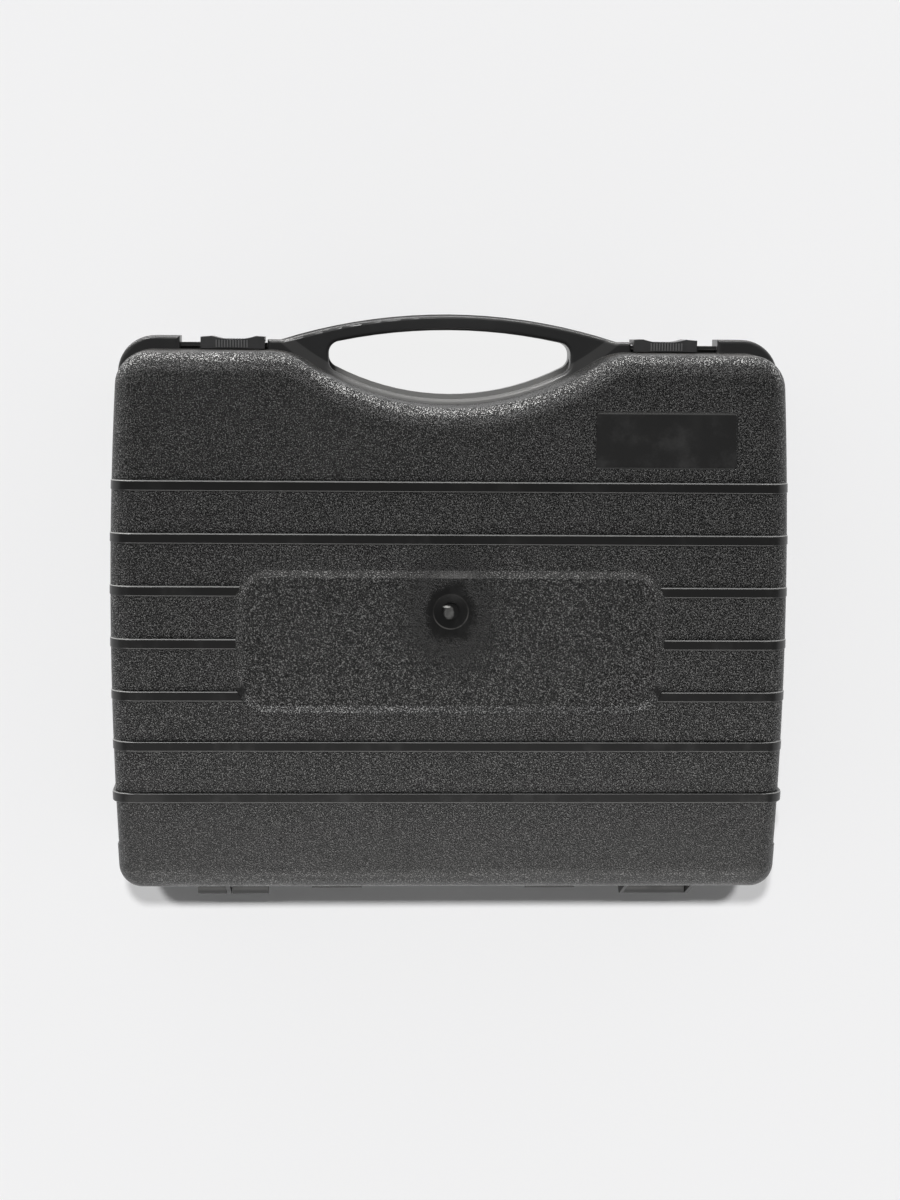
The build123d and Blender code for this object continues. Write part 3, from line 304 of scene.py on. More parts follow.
def lamp(name, kind, strength, toward, only, place=(0, 0, 1), size=None, spread=None):
    """A sun or an area lamp that shines along toward, on one collection only."""
    data = bpy.data.lights.new(name, kind)
    data.energy = strength
    if kind == "SUN":
        data.angle = math.radians(spread)
    else:
        data.shape = "RECTANGLE"
        data.size, data.size_y = size
    made = bpy.data.objects.new(name, data)
    scene.collection.objects.link(made)
    made.location = place
    steep = abs(toward.normalized().z) >= 0.9
    aim(made, toward, Vector((0, -1, 0)) if steep else Vector((0, 0, 1)))
    made.visible_camera = False
    made.light_linking.receiver_collection = only
    return made


floor_lit = bpy.data.collections.new("floor_lit")
floor_lit.objects.link(floor)

WARM = (1.0, 0.985, 0.965)
FLOOR_SUN, KEY_SUN, EDGE_STRIP, PALE_BOARD = 1.35, 1.4, 7.5, 3.6

for side, across in (("left", 0.04), ("right", -0.15)):
    lamp("floor_sun_" + side, "SUN", FLOOR_SUN, unit(across, 0.326, -0.93), floor_lit, spread=3)
lamp("key_sun", "SUN", KEY_SUN, unit(-0.25, 0.68, -0.69), parts_lit, spread=5)
edge_strip = lamp(
    "edge_strip", "AREA", EDGE_STRIP, unit(-0.2, 0.98, 0), parts_lit,
    place=(0.15, -0.80, 0.052), size=(1.3, 0.07),
)
pale_board = lamp(
    "pale_board", "AREA", PALE_BOARD, unit(0, -0.66, -0.75), parts_lit,
    place=(0, 0.36, 0.34), size=(0.9, 0.3),
)
edge_strip.data.color = pale_board.data.color = WARM
scene.view_settings.view_transform = "Standard"

# %% [markdown]
# ## Grained polypropylene
# The two shells are one shot of dark plastic each. Most of the tool is etched, which leaves a fine
# pebble grain, while ribs, the label field, the handle and the spot where the plastic entered are
# polished. Each zone could be a material of its own, but the mould is one surface, so one material
# reads the place on the part and fades the grain out where the tool was smooth.

# %% zones of the mould
RIB_HEIGHT = 1.2 * MM
SPLIT = lid_top / 2
FACE = SPLIT - RIB_HEIGHT
RIB_MIDDLES = [value * MM for value in (-70.8, -43.0, -15.1, 13.0, 41.0, 68.0, 95.8)]
RIB_WIDTH = 5.6 * MM
RIB_EDGE = (RIB_WIDTH / 2 + 0.1 * MM, RIB_WIDTH / 2 - 0.2 * MM)
OUTWARD = (0 * MM, 4 * MM)
PANEL = {"middle": (0.0, 12 * MM), "size": (228 * MM, 77 * MM), "corner": 17.5 * MM}
PANEL_EDGE = (-1 * MM, 0 * MM)
LABEL = {"middle": (-113.2 * MM, -95.6 * MM), "size": (73.6 * MM, 28.8 * MM), "corner": 1.5 * MM}


def rounded_field(tree, x, y, middle, size, corner):
    """Distance outside the edge of a rounded rectangle, negative inside it."""
    over = [
        calc(tree, "SUBTRACT", gap_to(tree, value, centre), width / 2 - corner)
        for value, centre, width in zip((x, y), middle, size)
    ]
    squares = [calc(tree, "POWER", calc(tree, "MAXIMUM", value, 0.0), 2.0) for value in over]
    outside = calc(tree, "SQRT", calc(tree, "ADD", *squares))
    inside = calc(tree, "MINIMUM", calc(tree, "MAXIMUM", *over), 0.0)
    return calc(tree, "SUBTRACT", calc(tree, "ADD", outside, inside), corner)


def rib_zone(tree, y):
    """1 on the ribs and 0 between them, and the distance from the middle of the nearest rib."""
    nearest = None
    for middle in RIB_MIDDLES:
        gap = gap_to(tree, y, middle)
        nearest = gap if nearest is None else calc(tree, "MINIMUM", nearest, gap)
    return remap(tree, nearest, *RIB_EDGE), nearest


def read_point(tree, place):
    """Where a point of a shell lies and which way it faces, kept under names for the finish."""
    at = SimpleNamespace(place=place)
    at.x, at.y, z = coordinates(tree, place)
    at.height = gap_to(tree, z, SPLIT)
    normal = node(tree, "TexCoord").outputs["Normal"]
    outward = measure(tree, "DOT_PRODUCT", normal, vector(tree, "SUBTRACT", place, (0, 0, SPLIT)))
    at.outside = remap(tree, outward, *OUTWARD)
    turned_to = coordinates(tree, normal)
    at.facing, at.lean = turned_to[1], unsigned(tree, turned_to[2])
    return at


print(len(RIB_MIDDLES), "ribs,", round(RIB_WIDTH / MM, 1), "mm wide")

# %% [markdown]
# ### Ribs, handle and lugs
# The ribs stop at the lid's sunk panel, whose corners are round. They could have a material slot of
# their own, but the mesh of a loaded part isn't changed, so the finish finds them by their place. A
# plain band across the lid would colour the panel's corners too, so near the panel the finish also
# asks how high a point stands: only the ribs rise above the face. Past the panel's ends the band is
# enough, and it carries on down the side walls. The handle and the hinge's lugs are smooth as well.

# %% ribs and polished zones
PAST_PANEL = (124 * MM, 128 * MM)
ABOVE_FACE = (FACE + 0.05 * MM, FACE + 0.2 * MM)
HANDLE_START = (-110 * MM, -112 * MM)
HANDLE_SMOOTH = (11.2 * MM, 11.0 * MM)
LUG_START = (146.8 * MM, 147.3 * MM)


def find_ribs(tree, at):
    """Find the ribs, and the part of the shell where they rise."""
    ribs, at.rib_gap = rib_zone(tree, at.y)
    past_panel = remap(tree, unsigned(tree, at.x), *PAST_PANEL)
    above_face = remap(tree, at.height, *ABOVE_FACE)
    at.raised = calc(tree, "MAXIMUM", past_panel, above_face)
    at.ribs = multiply(tree, ribs, at.raised)


def find_grain(tree, at, smooth):
    """Find the etched zone: the outside of the shell, apart from all that the tool leaves smooth."""
    at.beside = remap(tree, at.y, *HANDLE_START)
    handle = multiply(tree, at.beside, remap(tree, at.height, *HANDLE_SMOOTH))
    at.lugs = remap(tree, at.y, *LUG_START)
    smooth = calc(tree, "MAXIMUM", smooth, calc(tree, "MAXIMUM", handle, at.lugs))
    at.grain_zone = multiply(tree, calc(tree, "SUBTRACT", 1.0, smooth), at.outside)


print("the handle ends at", round(HANDLE_START[0] / MM), "mm and lugs start at", round(LUG_START[0] / MM))

# %% [markdown]
# ### The moulding mark, the label field and the panel's edge
# Hot plastic enters the lid at one spot in the sunk panel. The tool is polished there, flow leaves a
# dark, ragged patch, and the runner is cut off in the middle, which leaves a pale stub with a torn
# edge. A painted highlight marks the ring round the mark on its hinge side, and the stub's torn edge
# on its handle side. The label field near the handle is smooth too, sunk a little, and empty, with a
# painted highlight along its long edges. The panel's sloped edge is grained and carries a painted
# highlight, strongest towards the hinge and the +X side. They could be painted on by hand, but a
# distance to a point or to a rounded rectangle gives their outlines exactly, and they stay in their
# place on the part.

# %% moulding mark
GATE = (0.0, -4.5 * MM)
GATE_SQUEEZE, GATE_WANDER = 0.78, 12 * MM
GATE_EDGE, HALO_EDGE = (31 * MM, 13 * MM), (44 * MM, 19 * MM)
RING_R, RING_LINE = 9.3 * MM, (0.5 * MM, 0.15 * MM)
RING_SIDE = (GATE[1] - 4 * MM, GATE[1] + 6 * MM)
STUB_MIDDLE, STUB_SQUEEZE, STUB_EDGE = (1.0 * MM, 0.6 * MM), (1.15, 0.85), (4.4 * MM, 2.9 * MM)
TORN_MIDDLE, TORN_SQUEEZE, TORN_EDGE = (2.2 * MM, -2.6 * MM), (0.55, 1.9), (2.2 * MM, 1.6 * MM)
TEAR_DEPTH = 1.6 * MM
GATE_DARK, HALO_DARK = (0.0025, 0.0025, 0.0025), (0.0035, 0.0035, 0.0035)
# The ring grey is a painted highlight, the stub grey its paler plastic, the torn grey a torn edge painted
# as a highlight.
RING_HIGHLIGHT_GREY, STUB_GREY, TORN_EDGE_HIGHLIGHT_GREY = (0.055, 0.054, 0.052), (0.13, 0.13, 0.128), (0.42, 0.42, 0.41)


def gate_ring_highlight(tree, radius, y, wander):
    """A thin, broken painted highlight round the gate mark, clearest on its hinge side."""
    line = remap(tree, gap_to(tree, radius, RING_R), *RING_LINE)
    side = remap(tree, y, *RING_SIDE, to_low=0.25)
    broken = remap(tree, wander, 0.35, 0.6, to_low=0.2)
    return multiply(tree, line, multiply(tree, side, broken))


def torn_blob(tree, from_gate, middle, squeeze, noise_scale):
    """Distance from a middle, squeezed across and along, with a torn edge."""
    aside = vector(tree, "SUBTRACT", from_gate, (*middle, 0))
    reach = measure(tree, "LENGTH", vector(tree, "MULTIPLY", aside, (*squeeze, 0)))
    tear = multiply(tree, cloud(tree, from_gate, scale=noise_scale), TEAR_DEPTH)
    return calc(tree, "ADD", reach, tear)


def gate_nub(tree, from_gate):
    """The paler stub where the runner was cut off, and its torn sliver, painted bright as a highlight."""
    oval = torn_blob(tree, from_gate, STUB_MIDDLE, STUB_SQUEEZE, noise_scale=700.0)
    mottle = cloud(tree, from_gate, scale=420.0, detail=3.0, rough=0.7)
    stub = multiply(tree, remap(tree, oval, *STUB_EDGE), mottle)
    thin = torn_blob(tree, from_gate, TORN_MIDDLE, TORN_SQUEEZE, noise_scale=900.0)
    return stub, remap(tree, thin, *TORN_EDGE, to_high=0.9)


def find_gate(tree, at):
    """Find the polished, ragged patch round the place where the plastic entered."""
    at.wander = cloud(tree, at.place, scale=95.0, detail=5.0, rough=0.65)
    at.from_gate = vector(tree, "SUBTRACT", at.place, (*GATE, 0))
    at.radius = measure(tree, "LENGTH", vector(tree, "MULTIPLY", at.from_gate, (1, 1, 0)))
    spread = measure(tree, "LENGTH", vector(tree, "MULTIPLY", at.from_gate, (1, GATE_SQUEEZE, 0)))
    at.ragged = calc(tree, "ADD", spread, multiply(tree, at.wander, GATE_WANDER))
    at.gate = multiply(tree, remap(tree, at.ragged, *GATE_EDGE), at.outside)


def gate_shadow(tree, at):
    """The dark halo and the darker patch inside it."""
    halo = multiply(tree, remap(tree, at.ragged, *HALO_EDGE, to_high=0.9), at.outside)
    return [(halo, HALO_DARK), (multiply(tree, at.gate, 0.85), GATE_DARK)]


def gate_details(tree, at):
    """The ring's painted highlight, the stub and its torn edge with a painted highlight."""
    ring = gate_ring_highlight(tree, at.radius, at.y, at.wander)
    stub, sliver = gate_nub(tree, at.from_gate)
    marks = ((ring, RING_HIGHLIGHT_GREY), (stub, STUB_GREY), (sliver, TORN_EDGE_HIGHLIGHT_GREY))
    return [(multiply(tree, at.gate, mark), grey) for mark, grey in marks]


print("moulding mark at", [round(value / MM, 1) for value in GATE], "mm")

# %% label field
LABEL_EDGE, LABEL_LINE = (0.5 * MM, 0.2 * MM), (0.5 * MM, 0.25 * MM)
LONG_EDGES = (13.8 * MM, 14.2 * MM)
# The line along the label field's long edges is a painted highlight.
LABEL_BASE, LABEL_SMEAR, LABEL_EDGE_HIGHLIGHT = (0.021, 0.021, 0.021), (0.036, 0.036, 0.036), (0.075, 0.075, 0.074)


def find_label(tree, at):
    """Find the smooth field near the handle."""
    at.label_edge = rounded_field(tree, at.x, at.y, **LABEL)
    at.label = multiply(tree, remap(tree, at.label_edge, *LABEL_EDGE), at.outside)


def label_coats(tree, at):
    """A slightly paler, smeared floor, and a painted highlight along the field's two long edges."""
    smear = remap(tree, cloud(tree, at.place, scale=70.0, detail=5.0, rough=0.7), 0.45, 0.75, to_high=0.7)
    long_edges = remap(tree, gap_to(tree, at.y, LABEL["middle"][1]), *LONG_EDGES)
    edge_highlight = remap(tree, unsigned(tree, at.label_edge), *LABEL_LINE)
    edge_highlight = multiply(tree, edge_highlight, at.outside, long_edges)
    return [
        (multiply(tree, at.label, 0.5), LABEL_BASE),
        (multiply(tree, at.label, smear), LABEL_SMEAR),
        (multiply(tree, edge_highlight, 0.8), LABEL_EDGE_HIGHLIGHT),
    ]


print("label field is", [round(value / MM, 1) for value in LABEL["size"]], "mm")

# %% panel's sloped edge
SLOPE_INSET, SLOPE_LINE = 2.4 * MM, (2.2 * MM, 1.2 * MM)
SLOPE_TOWARD_HINGE, SLOPE_TOWARD_SIDE = (26 * MM, 44 * MM), (-90 * MM, 100 * MM)
# Both greys paint a highlight on the panel's sloped edge.
SLOPE_HIGHLIGHT_BASE, SLOPE_HIGHLIGHT_TOPS = (0.028, 0.028, 0.028), (0.34, 0.34, 0.336)


def panel_slope_highlight(tree, at):
    """A painted highlight on the panel's sloped edge, strongest towards the hinge and the +X side."""
    slope = remap(tree, unsigned(tree, calc(tree, "ADD", at.panel, SLOPE_INSET)), *SLOPE_LINE)
    toward_hinge = remap(tree, at.y, *SLOPE_TOWARD_HINGE, to_low=0.3)
    toward_side = remap(tree, at.x, *SLOPE_TOWARD_SIDE, to_low=0.45)
    slope = multiply(tree, slope, at.outside, toward_hinge, toward_side)
    return [(multiply(tree, slope, 0.8), SLOPE_HIGHLIGHT_BASE), (multiply(tree, slope, at.tops), SLOPE_HIGHLIGHT_TOPS)]


print("sunk panel is", [round(value / MM, 1) for value in PANEL["size"]], "mm")

# %% [markdown]
# ### Pebble grain
# The tool's etching leaves a field of small pebbles. They could be modelled, but there are far too
# many, so noise gives their heights and a bump node turns those into relief. The same noise sets the
# colour and the gloss, which keeps all three in step: pits are painted nearly black as shade and
# mirror little of the room, tops are paler, partly as wear and partly as painted sparkle, and the
# highest tops carry painted glints. The contrast of the grain, its painted shade and glints, fades
# towards the hinge.

# %% grain
GRAIN_DEPTH = 0.32 * MM
PLASTIC_DARK, PLASTIC_PALE = (0.0065, 0.0065, 0.0067), (0.0095, 0.0094, 0.0092)
# Pits: painted shade. Tops: wear and painted sparkle. Highest tops: painted glints.
PIT_SHADE_BLACK, TOP_WEAR_AND_SPARKLE_GREY, PEAK_GLINT_GREY = (0.0012, 0.0012, 0.0012), (0.056, 0.056, 0.055), (0.15, 0.15, 0.148)
TOWARD_HINGE = (60 * MM, 132 * MM)
PIT_LEVELS, TOP_LEVELS, PEAK_LEVELS = (0.535, 0.465), (0.555, 0.61), (0.61, 0.66)
PEBBLE_SHARE, CELL_SHARE, RIPPLE_SHARE = 0.8, 0.4, 0.25


def grain_relief(tree, at):
    """The pebbles' heights, and the shell's relief with a slow ripple from the cooling."""
    at.pebbles = cloud(tree, at.place, scale=1500.0, detail=1.5, rough=0.6)
    tops = remap(tree, at.pebbles, 0.40, 0.60)
    cell_inputs = {"Vector": at.place, "Scale": 1300.0, "Smoothness": 0.4}
    cells = node(tree, "TexVoronoi", cell_inputs, feature="SMOOTH_F1").outputs[0]
    grain = calc(tree, "ADD", multiply(tree, tops, PEBBLE_SHARE), multiply(tree, cells, CELL_SHARE))
    grain = multiply(tree, grain, at.grain_zone)
    ripple = cloud(tree, at.place, scale=60.0)
    return relief(tree, calc(tree, "ADD", grain, multiply(tree, ripple, RIPPLE_SHARE)), GRAIN_DEPTH)


def grain_colour(tree, at):
    """Dark plastic with painted shade in the pits, tops paler as wear and painted sparkle, and painted
    glints.
    """
    deep = remap(tree, at.y, *TOWARD_HINGE, to_low=1.0, to_high=0.35)
    shallow = remap(tree, at.y, *TOWARD_HINGE, to_low=1.0, to_high=0.1)
    pits = remap(tree, at.pebbles, *PIT_LEVELS, to_high=0.95)
    at.hollows = multiply(tree, at.grain_zone, deep, pits)
    at.tops = multiply(tree, at.grain_zone, remap(tree, at.pebbles, *TOP_LEVELS))
    glint_mask = multiply(tree, at.grain_zone, shallow, remap(tree, at.pebbles, *PEAK_LEVELS))
    body = blend(tree, cloud(tree, at.place, scale=9.0, detail=4.0, rough=0.6), PLASTIC_DARK, PLASTIC_PALE)
    return lay(tree, body, [(at.hollows, PIT_SHADE_BLACK), (at.tops, TOP_WEAR_AND_SPARKLE_GREY), (glint_mask, PEAK_GLINT_GREY)])


print("grain is", round(GRAIN_DEPTH / MM, 2), "mm deep")

# %% [markdown]
# ### Wear, painted highlights and painted shade
# Hands and shelves rub a case where it is round or stands out, and the lamps catch the same places.
# The rounded edges get a painted highlight with some wear, and the sides of the ribs a painted
# highlight. The corners of the handle are worn and carry a painted highlight too, and the lip of the
# hand hole gets a painted reflection of the pale room. The end wall gets dust together with a painted
# warm reflection, and the hinge's lugs are painted darker as shade. Most of it is clearest on the side
# towards the handle, where the light comes from. The wear could be painted on by hand, but the
# direction of the surface finds the rounded parts, a bevelled normal finds the sharp ones, and
# patches of noise keep the marks from looking drawn.

# %% rubbed places, painted highlights and shade
# Roundings get a painted highlight with some wear, rib sides a painted highlight, and lugs painted shade.
ROUNDING_HIGHLIGHT_AND_WEAR_GREY, RIB_SIDE_HIGHLIGHT_GREY, LUG_SHADE_BLACK = (0.62, 0.62, 0.613), (0.36, 0.36, 0.355), (0.004, 0.004, 0.004)
# The handle's worn edges also carry a painted highlight, and its lip a painted reflection.
GRIP_GREY, EDGE_WEAR_AND_HIGHLIGHT_GREY, LIP_REFLECTION_GREY = (0.035, 0.035, 0.0355), (0.30, 0.297, 0.288), (0.33, 0.327, 0.320)
# The brown is dust on the end wall together with a painted warm reflection.
DUST_AND_REFLECTION_BROWN, SPECK = (0.050, 0.041, 0.034), (0.16, 0.155, 0.145)
OFF_THE_FACE, OFF_THE_WALL = (0.93, 0.72), (0.12, 0.35)
TOWARD_HANDLE, RIB_FACING, END_FACING = (0.05, -0.40), (-0.12, -0.40), (-0.85, -0.97)
RIB_SIDE_LINE, EDGE_REACH = (0.7 * MM, 0.4 * MM), 0.7 * MM
GRIP_HEIGHT, END_WALL = (11.6 * MM, 11.2 * MM), (-138 * MM, -140 * MM)
DIP_Y, LIP_R, LIP_LINE, LIP_HALF = -253 * MM, 138 * MM, (3.4 * MM, 2.6 * MM), (68 * MM, 52 * MM)


def sharp_edges(tree, reach):
    """1 where the surface turns sharply within reach, at the edges that get wear and a painted highlight.
    """
    softened = node(tree, "Bevel", {"Radius": reach}, samples=4).outputs[0]
    true_normal = node(tree, "NewGeometry").outputs["Normal"]
    return remap(tree, measure(tree, "DOT_PRODUCT", softened, true_normal), 0.985, 0.90)


def lip_zone(tree, place):
    """1 on the narrow lip of the hand hole, which gets a painted reflection of the pale room."""
    from_arc = vector(tree, "SUBTRACT", place, (0, DIP_Y, 0))
    reach = measure(tree, "LENGTH", vector(tree, "MULTIPLY", from_arc, (1, 1, 0)))
    near_arc = remap(tree, gap_to(tree, reach, LIP_R), *LIP_LINE)
    aside = unsigned(tree, coordinates(tree, place)[0])
    return multiply(tree, near_arc, remap(tree, aside, *LIP_HALF, to_low=0.15))


def shell_highlights_and_shade(tree, at):
    """Painted highlights, with some wear, on roundings and rib sides towards the handle, and painted shade
    on the lugs.
    """
    patches = cloud(tree, at.place, scale=35.0, detail=4.0, rough=0.65)
    at.patchy = remap(tree, patches, 0.35, 0.65, to_low=0.35)
    rounded = multiply(tree, remap(tree, at.lean, *OFF_THE_FACE), remap(tree, at.lean, *OFF_THE_WALL))
    rounded = multiply(tree, rounded, remap(tree, at.facing, *TOWARD_HANDLE, to_low=0.12))
    rib_side = remap(tree, gap_to(tree, at.rib_gap, RIB_WIDTH / 2), *RIB_SIDE_LINE)
    near_side = remap(tree, at.facing, *RIB_FACING, to_high=0.9)
    # A painted highlight on roundings and rib sides, and painted shade darkening the lugs.
    return [
        (multiply(tree, rounded, at.patchy, at.tops), ROUNDING_HIGHLIGHT_AND_WEAR_GREY),
        (multiply(tree, rib_side, near_side, at.raised, at.outside), RIB_SIDE_HIGHLIGHT_GREY),
        (at.lugs, LUG_SHADE_BLACK),
    ]


def handle_wear_and_reflections(tree, at):
    """End wall dust with a painted reflection, the handle with worn edges and painted highlight, a painted
    reflection on the lip, specks.
    """
    # The end wall facing the handle side gets dust and a painted warm reflection.
    end_wall_facing = multiply(tree, remap(tree, at.facing, *END_FACING), remap(tree, at.y, *END_WALL))
    dust = remap(tree, cloud(tree, at.place, scale=40.0, detail=4.0, rough=0.6), 0.35, 0.65, to_high=0.35)
    grip = multiply(tree, at.beside, remap(tree, at.height, *GRIP_HEIGHT))
    # The handle's edges are lighter as wear and as a painted highlight.
    worn = multiply(tree, sharp_edges(tree, EDGE_REACH), multiply(tree, grip, at.patchy))
    specks = remap(tree, cloud(tree, at.place, scale=420.0, detail=1.0), 0.80, 0.86, to_high=0.5)
    return [
        (multiply(tree, end_wall_facing, dust, at.grain_zone), DUST_AND_REFLECTION_BROWN),
        (grip, GRIP_GREY),
        (multiply(tree, worn, 0.8), EDGE_WEAR_AND_HIGHLIGHT_GREY),
        (multiply(tree, grip, lip_zone(tree, at.place)), LIP_REFLECTION_GREY),
        (specks, SPECK),
    ]


print("lip of the hand hole at a radius of", round(LIP_R / MM, 1), "mm")

# %% gloss of the shells
BASE_ROUGH, GRAIN_ROUGH, SCUFF_ROUGH, LUG_ROUGH = 0.30, 0.03, 0.12, 0.25
MIRROR, PIT_LOSS = 0.5, 0.17


def shell_gloss(tree, at):
    """Roughness with scuffs and matt lugs, and how strongly the surface mirrors the room."""
    along_y = stretched(tree, at.place, (1.0, 0.45, 1.0))
    streaks = cloud(tree, along_y, scale=55.0, detail=4.0, rough=0.65)
    scuffs = remap(tree, streaks, 0.48, 0.70, to_high=SCUFF_ROUGH)
    rough = calc(tree, "ADD", multiply(tree, at.grain_zone, GRAIN_ROUGH), BASE_ROUGH)
    rough = calc(tree, "ADD", rough, calc(tree, "ADD", scuffs, multiply(tree, at.lugs, LUG_ROUGH)))
    return rough, calc(tree, "SUBTRACT", MIRROR, multiply(tree, at.hollows, PIT_LOSS))


roughest = round(BASE_ROUGH + GRAIN_ROUGH + SCUFF_ROUGH, 2)
print("roughness from", BASE_ROUGH, "to", roughest, "beside the lugs")

# %% [markdown]
# ### The shells' material
# The zones come together here. The front shell has the panel, the moulding mark and the label field,
# and the rear shell is the same plastic without them. Each coat is a mask and a colour, and coats go
# on from the plastic itself up to the specks of dust, because a later one covers those before it.

# %% case shells


def case_plastic(name, front):
    """Dark grained polypropylene, with the smooth zones of the front or the rear shell."""
    material, tree, place = new_material(name)
    at = read_point(tree, place)
    find_ribs(tree, at)
    smooth = at.ribs
    if front:
        at.panel = rounded_field(tree, at.x, at.y, **PANEL)
        find_label(tree, at)
        find_gate(tree, at)
        smooth = multiply(tree, at.ribs, remap(tree, at.panel, *PANEL_EDGE))
        smooth = calc(tree, "MAXIMUM", smooth, at.label)
        smooth = calc(tree, "MAXIMUM", smooth, at.gate)
    find_grain(tree, at, smooth)
    normal = grain_relief(tree, at)
    body = lay(tree, grain_colour(tree, at), shell_highlights_and_shade(tree, at))
    if front:
        marks = panel_slope_highlight(tree, at) + gate_shadow(tree, at) + label_coats(tree, at)
        body = lay(tree, body, marks + gate_details(tree, at))
    body = lay(tree, body, handle_wear_and_reflections(tree, at))
    rough, shine = shell_gloss(tree, at)
    surface(tree, {"Base Color": body, "Roughness": rough, "Specular IOR Level": shine, "Normal": normal})
    print(name, "has", len(tree.nodes), "nodes")
    return material


dressed = []


def dress(material, *names):
    """Give carried-over parts a finish."""
    dressed.extend(names)
    for name in names:
        nodes[name].data.materials.clear()
        nodes[name].data.materials.append(material)


dress(case_plastic("case_plastic_lid", front=True), "front_shell")
dress(case_plastic("case_plastic_back", front=False), "rear_shell")

# %% [markdown]
# ## Satin plastics
# Latches, knob, igniter, lever cap, feet, lead and insulator are all moulded or pressed. They differ
# in colour, in gloss and in the texture of their tool, so one recipe with those as values covers them.
# Flow lines shift the colour slightly, and a few pale specks of dust sit on top.

# %% moulded plastics
DUST_PALE = (0.32, 0.31, 0.29)
RUBBED_PALER = 2.4


def moulded(name, dark, light, rough, texture_scale, texture_mm, dust, coat=0.0, worn_from=None):
    """A moulded or pressed material with its tool's texture, flow lines and dust."""
    material, tree, place = new_material(name)
    texture = cloud(tree, place, scale=texture_scale, detail=3.0, rough=0.6)
    flow = cloud(tree, stretched(tree, place, (1.0, 0.35, 0.6)), scale=45.0, detail=4.0, rough=0.6)
    normal = relief(tree, calc(tree, "ADD", texture, multiply(tree, flow, 0.6)), texture_mm * MM)
    body = blend(tree, remap(tree, flow, 0.3, 0.7), dark, light)
    if worn_from is not None:
        up = coordinates(tree, place)[2]
        paler = tuple(RUBBED_PALER * value for value in light)
        body = blend(tree, remap(tree, up, worn_from, worn_from + 0.2 * MM), body, paler)
    specks = remap(tree, cloud(tree, place, scale=520.0, detail=1.0), 0.70, 0.80, to_high=dust)
    body = blend(tree, specks, body, DUST_PALE)
    patches = cloud(tree, place, scale=140.0, detail=3.0, rough=0.7)
    wear = remap(tree, patches, 0.35, 0.7, to_low=rough - 0.06, to_high=rough + 0.08)
    surface(tree, {"Base Color": body, "Roughness": wear, "Coat Weight": coat, "Normal": normal})
    return material


ridge_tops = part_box("latch_slider_left")[1].z
latch_nylon = moulded(
    "latch_nylon", (0.054, 0.054, 0.055), (0.078, 0.078, 0.079), rough=0.38,
    texture_scale=620.0, texture_mm=0.06, dust=0.3, worn_from=ridge_tops - 0.3 * MM,
)
knob_plastic = moulded(
    "knob_plastic", (0.012, 0.012, 0.012), (0.020, 0.020, 0.020), rough=0.38,
    texture_scale=480.0, texture_mm=0.04, dust=0.2,
)
cap_red = moulded(
    "cap_red", (0.30, 0.012, 0.010), (0.38, 0.020, 0.014), rough=0.30,
    texture_scale=300.0, texture_mm=0.02, dust=0.15, coat=0.2,
)
dress(latch_nylon, "latch_slider_left", "latch_slider_right")
dress(knob_plastic, "control_knob", "igniter_cam", "igniter_plunger", "piezo_igniter")
dress(cap_red, "lever_cap")
print("satin plastics dressed")

# %% rubber, lead and ceramic
foot_rubber = moulded(
    "foot_rubber", (0.014, 0.014, 0.014), (0.024, 0.023, 0.022), rough=0.78,
    texture_scale=350.0, texture_mm=0.08, dust=0.5,
)
lead_silicone = moulded(
    "lead_silicone", (0.55, 0.54, 0.52), (0.64, 0.63, 0.60), rough=0.55,
    texture_scale=420.0, texture_mm=0.03, dust=0.1,
)
ceramic_glaze = moulded(
    "ceramic_glaze", (0.80, 0.79, 0.75), (0.86, 0.85, 0.81), rough=0.22,
    texture_scale=260.0, texture_mm=0.02, dust=0.3, coat=0.6,
)
dress(foot_rubber, "rubber_feet")
dress(lead_silicone, "ignition_wire")
dress(ceramic_glaze, "electrode_ceramic")
print("rubber, lead and ceramic dressed")

# %% [markdown]
# ## Baked enamel on pressed steel
# The stove's body is sprayed with a satin black enamel. Sprayed paint is never flat: it dries with a
# slight orange peel and takes up grit and fine rubbed patches. The drip pan and its pan supports get
# a glassy enamel, glossier and with small pits. A layer of coat gives that depth.

# %% enamels
GRIT_GREY = (0.10, 0.095, 0.09)


def enamel(name, dark, light, rough, peel_scale, peel_mm, coat):
    """Sprayed or fired enamel with orange peel, grit and rubbed patches."""
    material, tree, place = new_material(name)
    peel = cloud(tree, place, scale=peel_scale, detail=2.0, rough=0.45)
    grit = remap(tree, cloud(tree, place, scale=900.0, detail=1.0), 0.66, 0.78)
    normal = relief(tree, calc(tree, "ADD", peel, multiply(tree, grit, 0.35)), peel_mm * MM)
    shade = cloud(tree, place, scale=14.0, detail=5.0, rough=0.6)
    body = blend(tree, remap(tree, shade, 0.3, 0.7), dark, light)
    body = blend(tree, multiply(tree, grit, 0.25), body, GRIT_GREY)
    patches = cloud(tree, place, scale=38.0, detail=5.0, rough=0.7)
    rubbed = remap(tree, patches, 0.42, 0.72, to_low=rough, to_high=rough + 0.14)
    surface(tree, {
        "Base Color": body,
        "Roughness": rubbed,
        "Coat Weight": coat,
        "Coat Roughness": 0.08,
        "Normal": normal,
    })
    return material


satin_black = enamel(
    "stove_enamel", (0.013, 0.013, 0.014), (0.021, 0.021, 0.022), rough=0.34,
    peel_scale=210.0, peel_mm=0.06, coat=0.05,
)
glass_enamel = enamel(
    "glass_enamel", (0.010, 0.010, 0.011), (0.016, 0.016, 0.018), rough=0.16,
    peel_scale=150.0, peel_mm=0.05, coat=0.6,
)
dress(satin_black, "stove_base", "top_plate", "cartridge_cover")
dress(glass_enamel, "drip_pan", "pan_supports")
print("enamelled sheets dressed")

# %% [markdown]
# ## Galvanised steel
# Hot-dip zinc freezes in flat crystals, the spangle, and each one reflects a little differently.
# Cells of a Voronoi pattern stand for the crystals: every cell gets its own brightness and gloss.

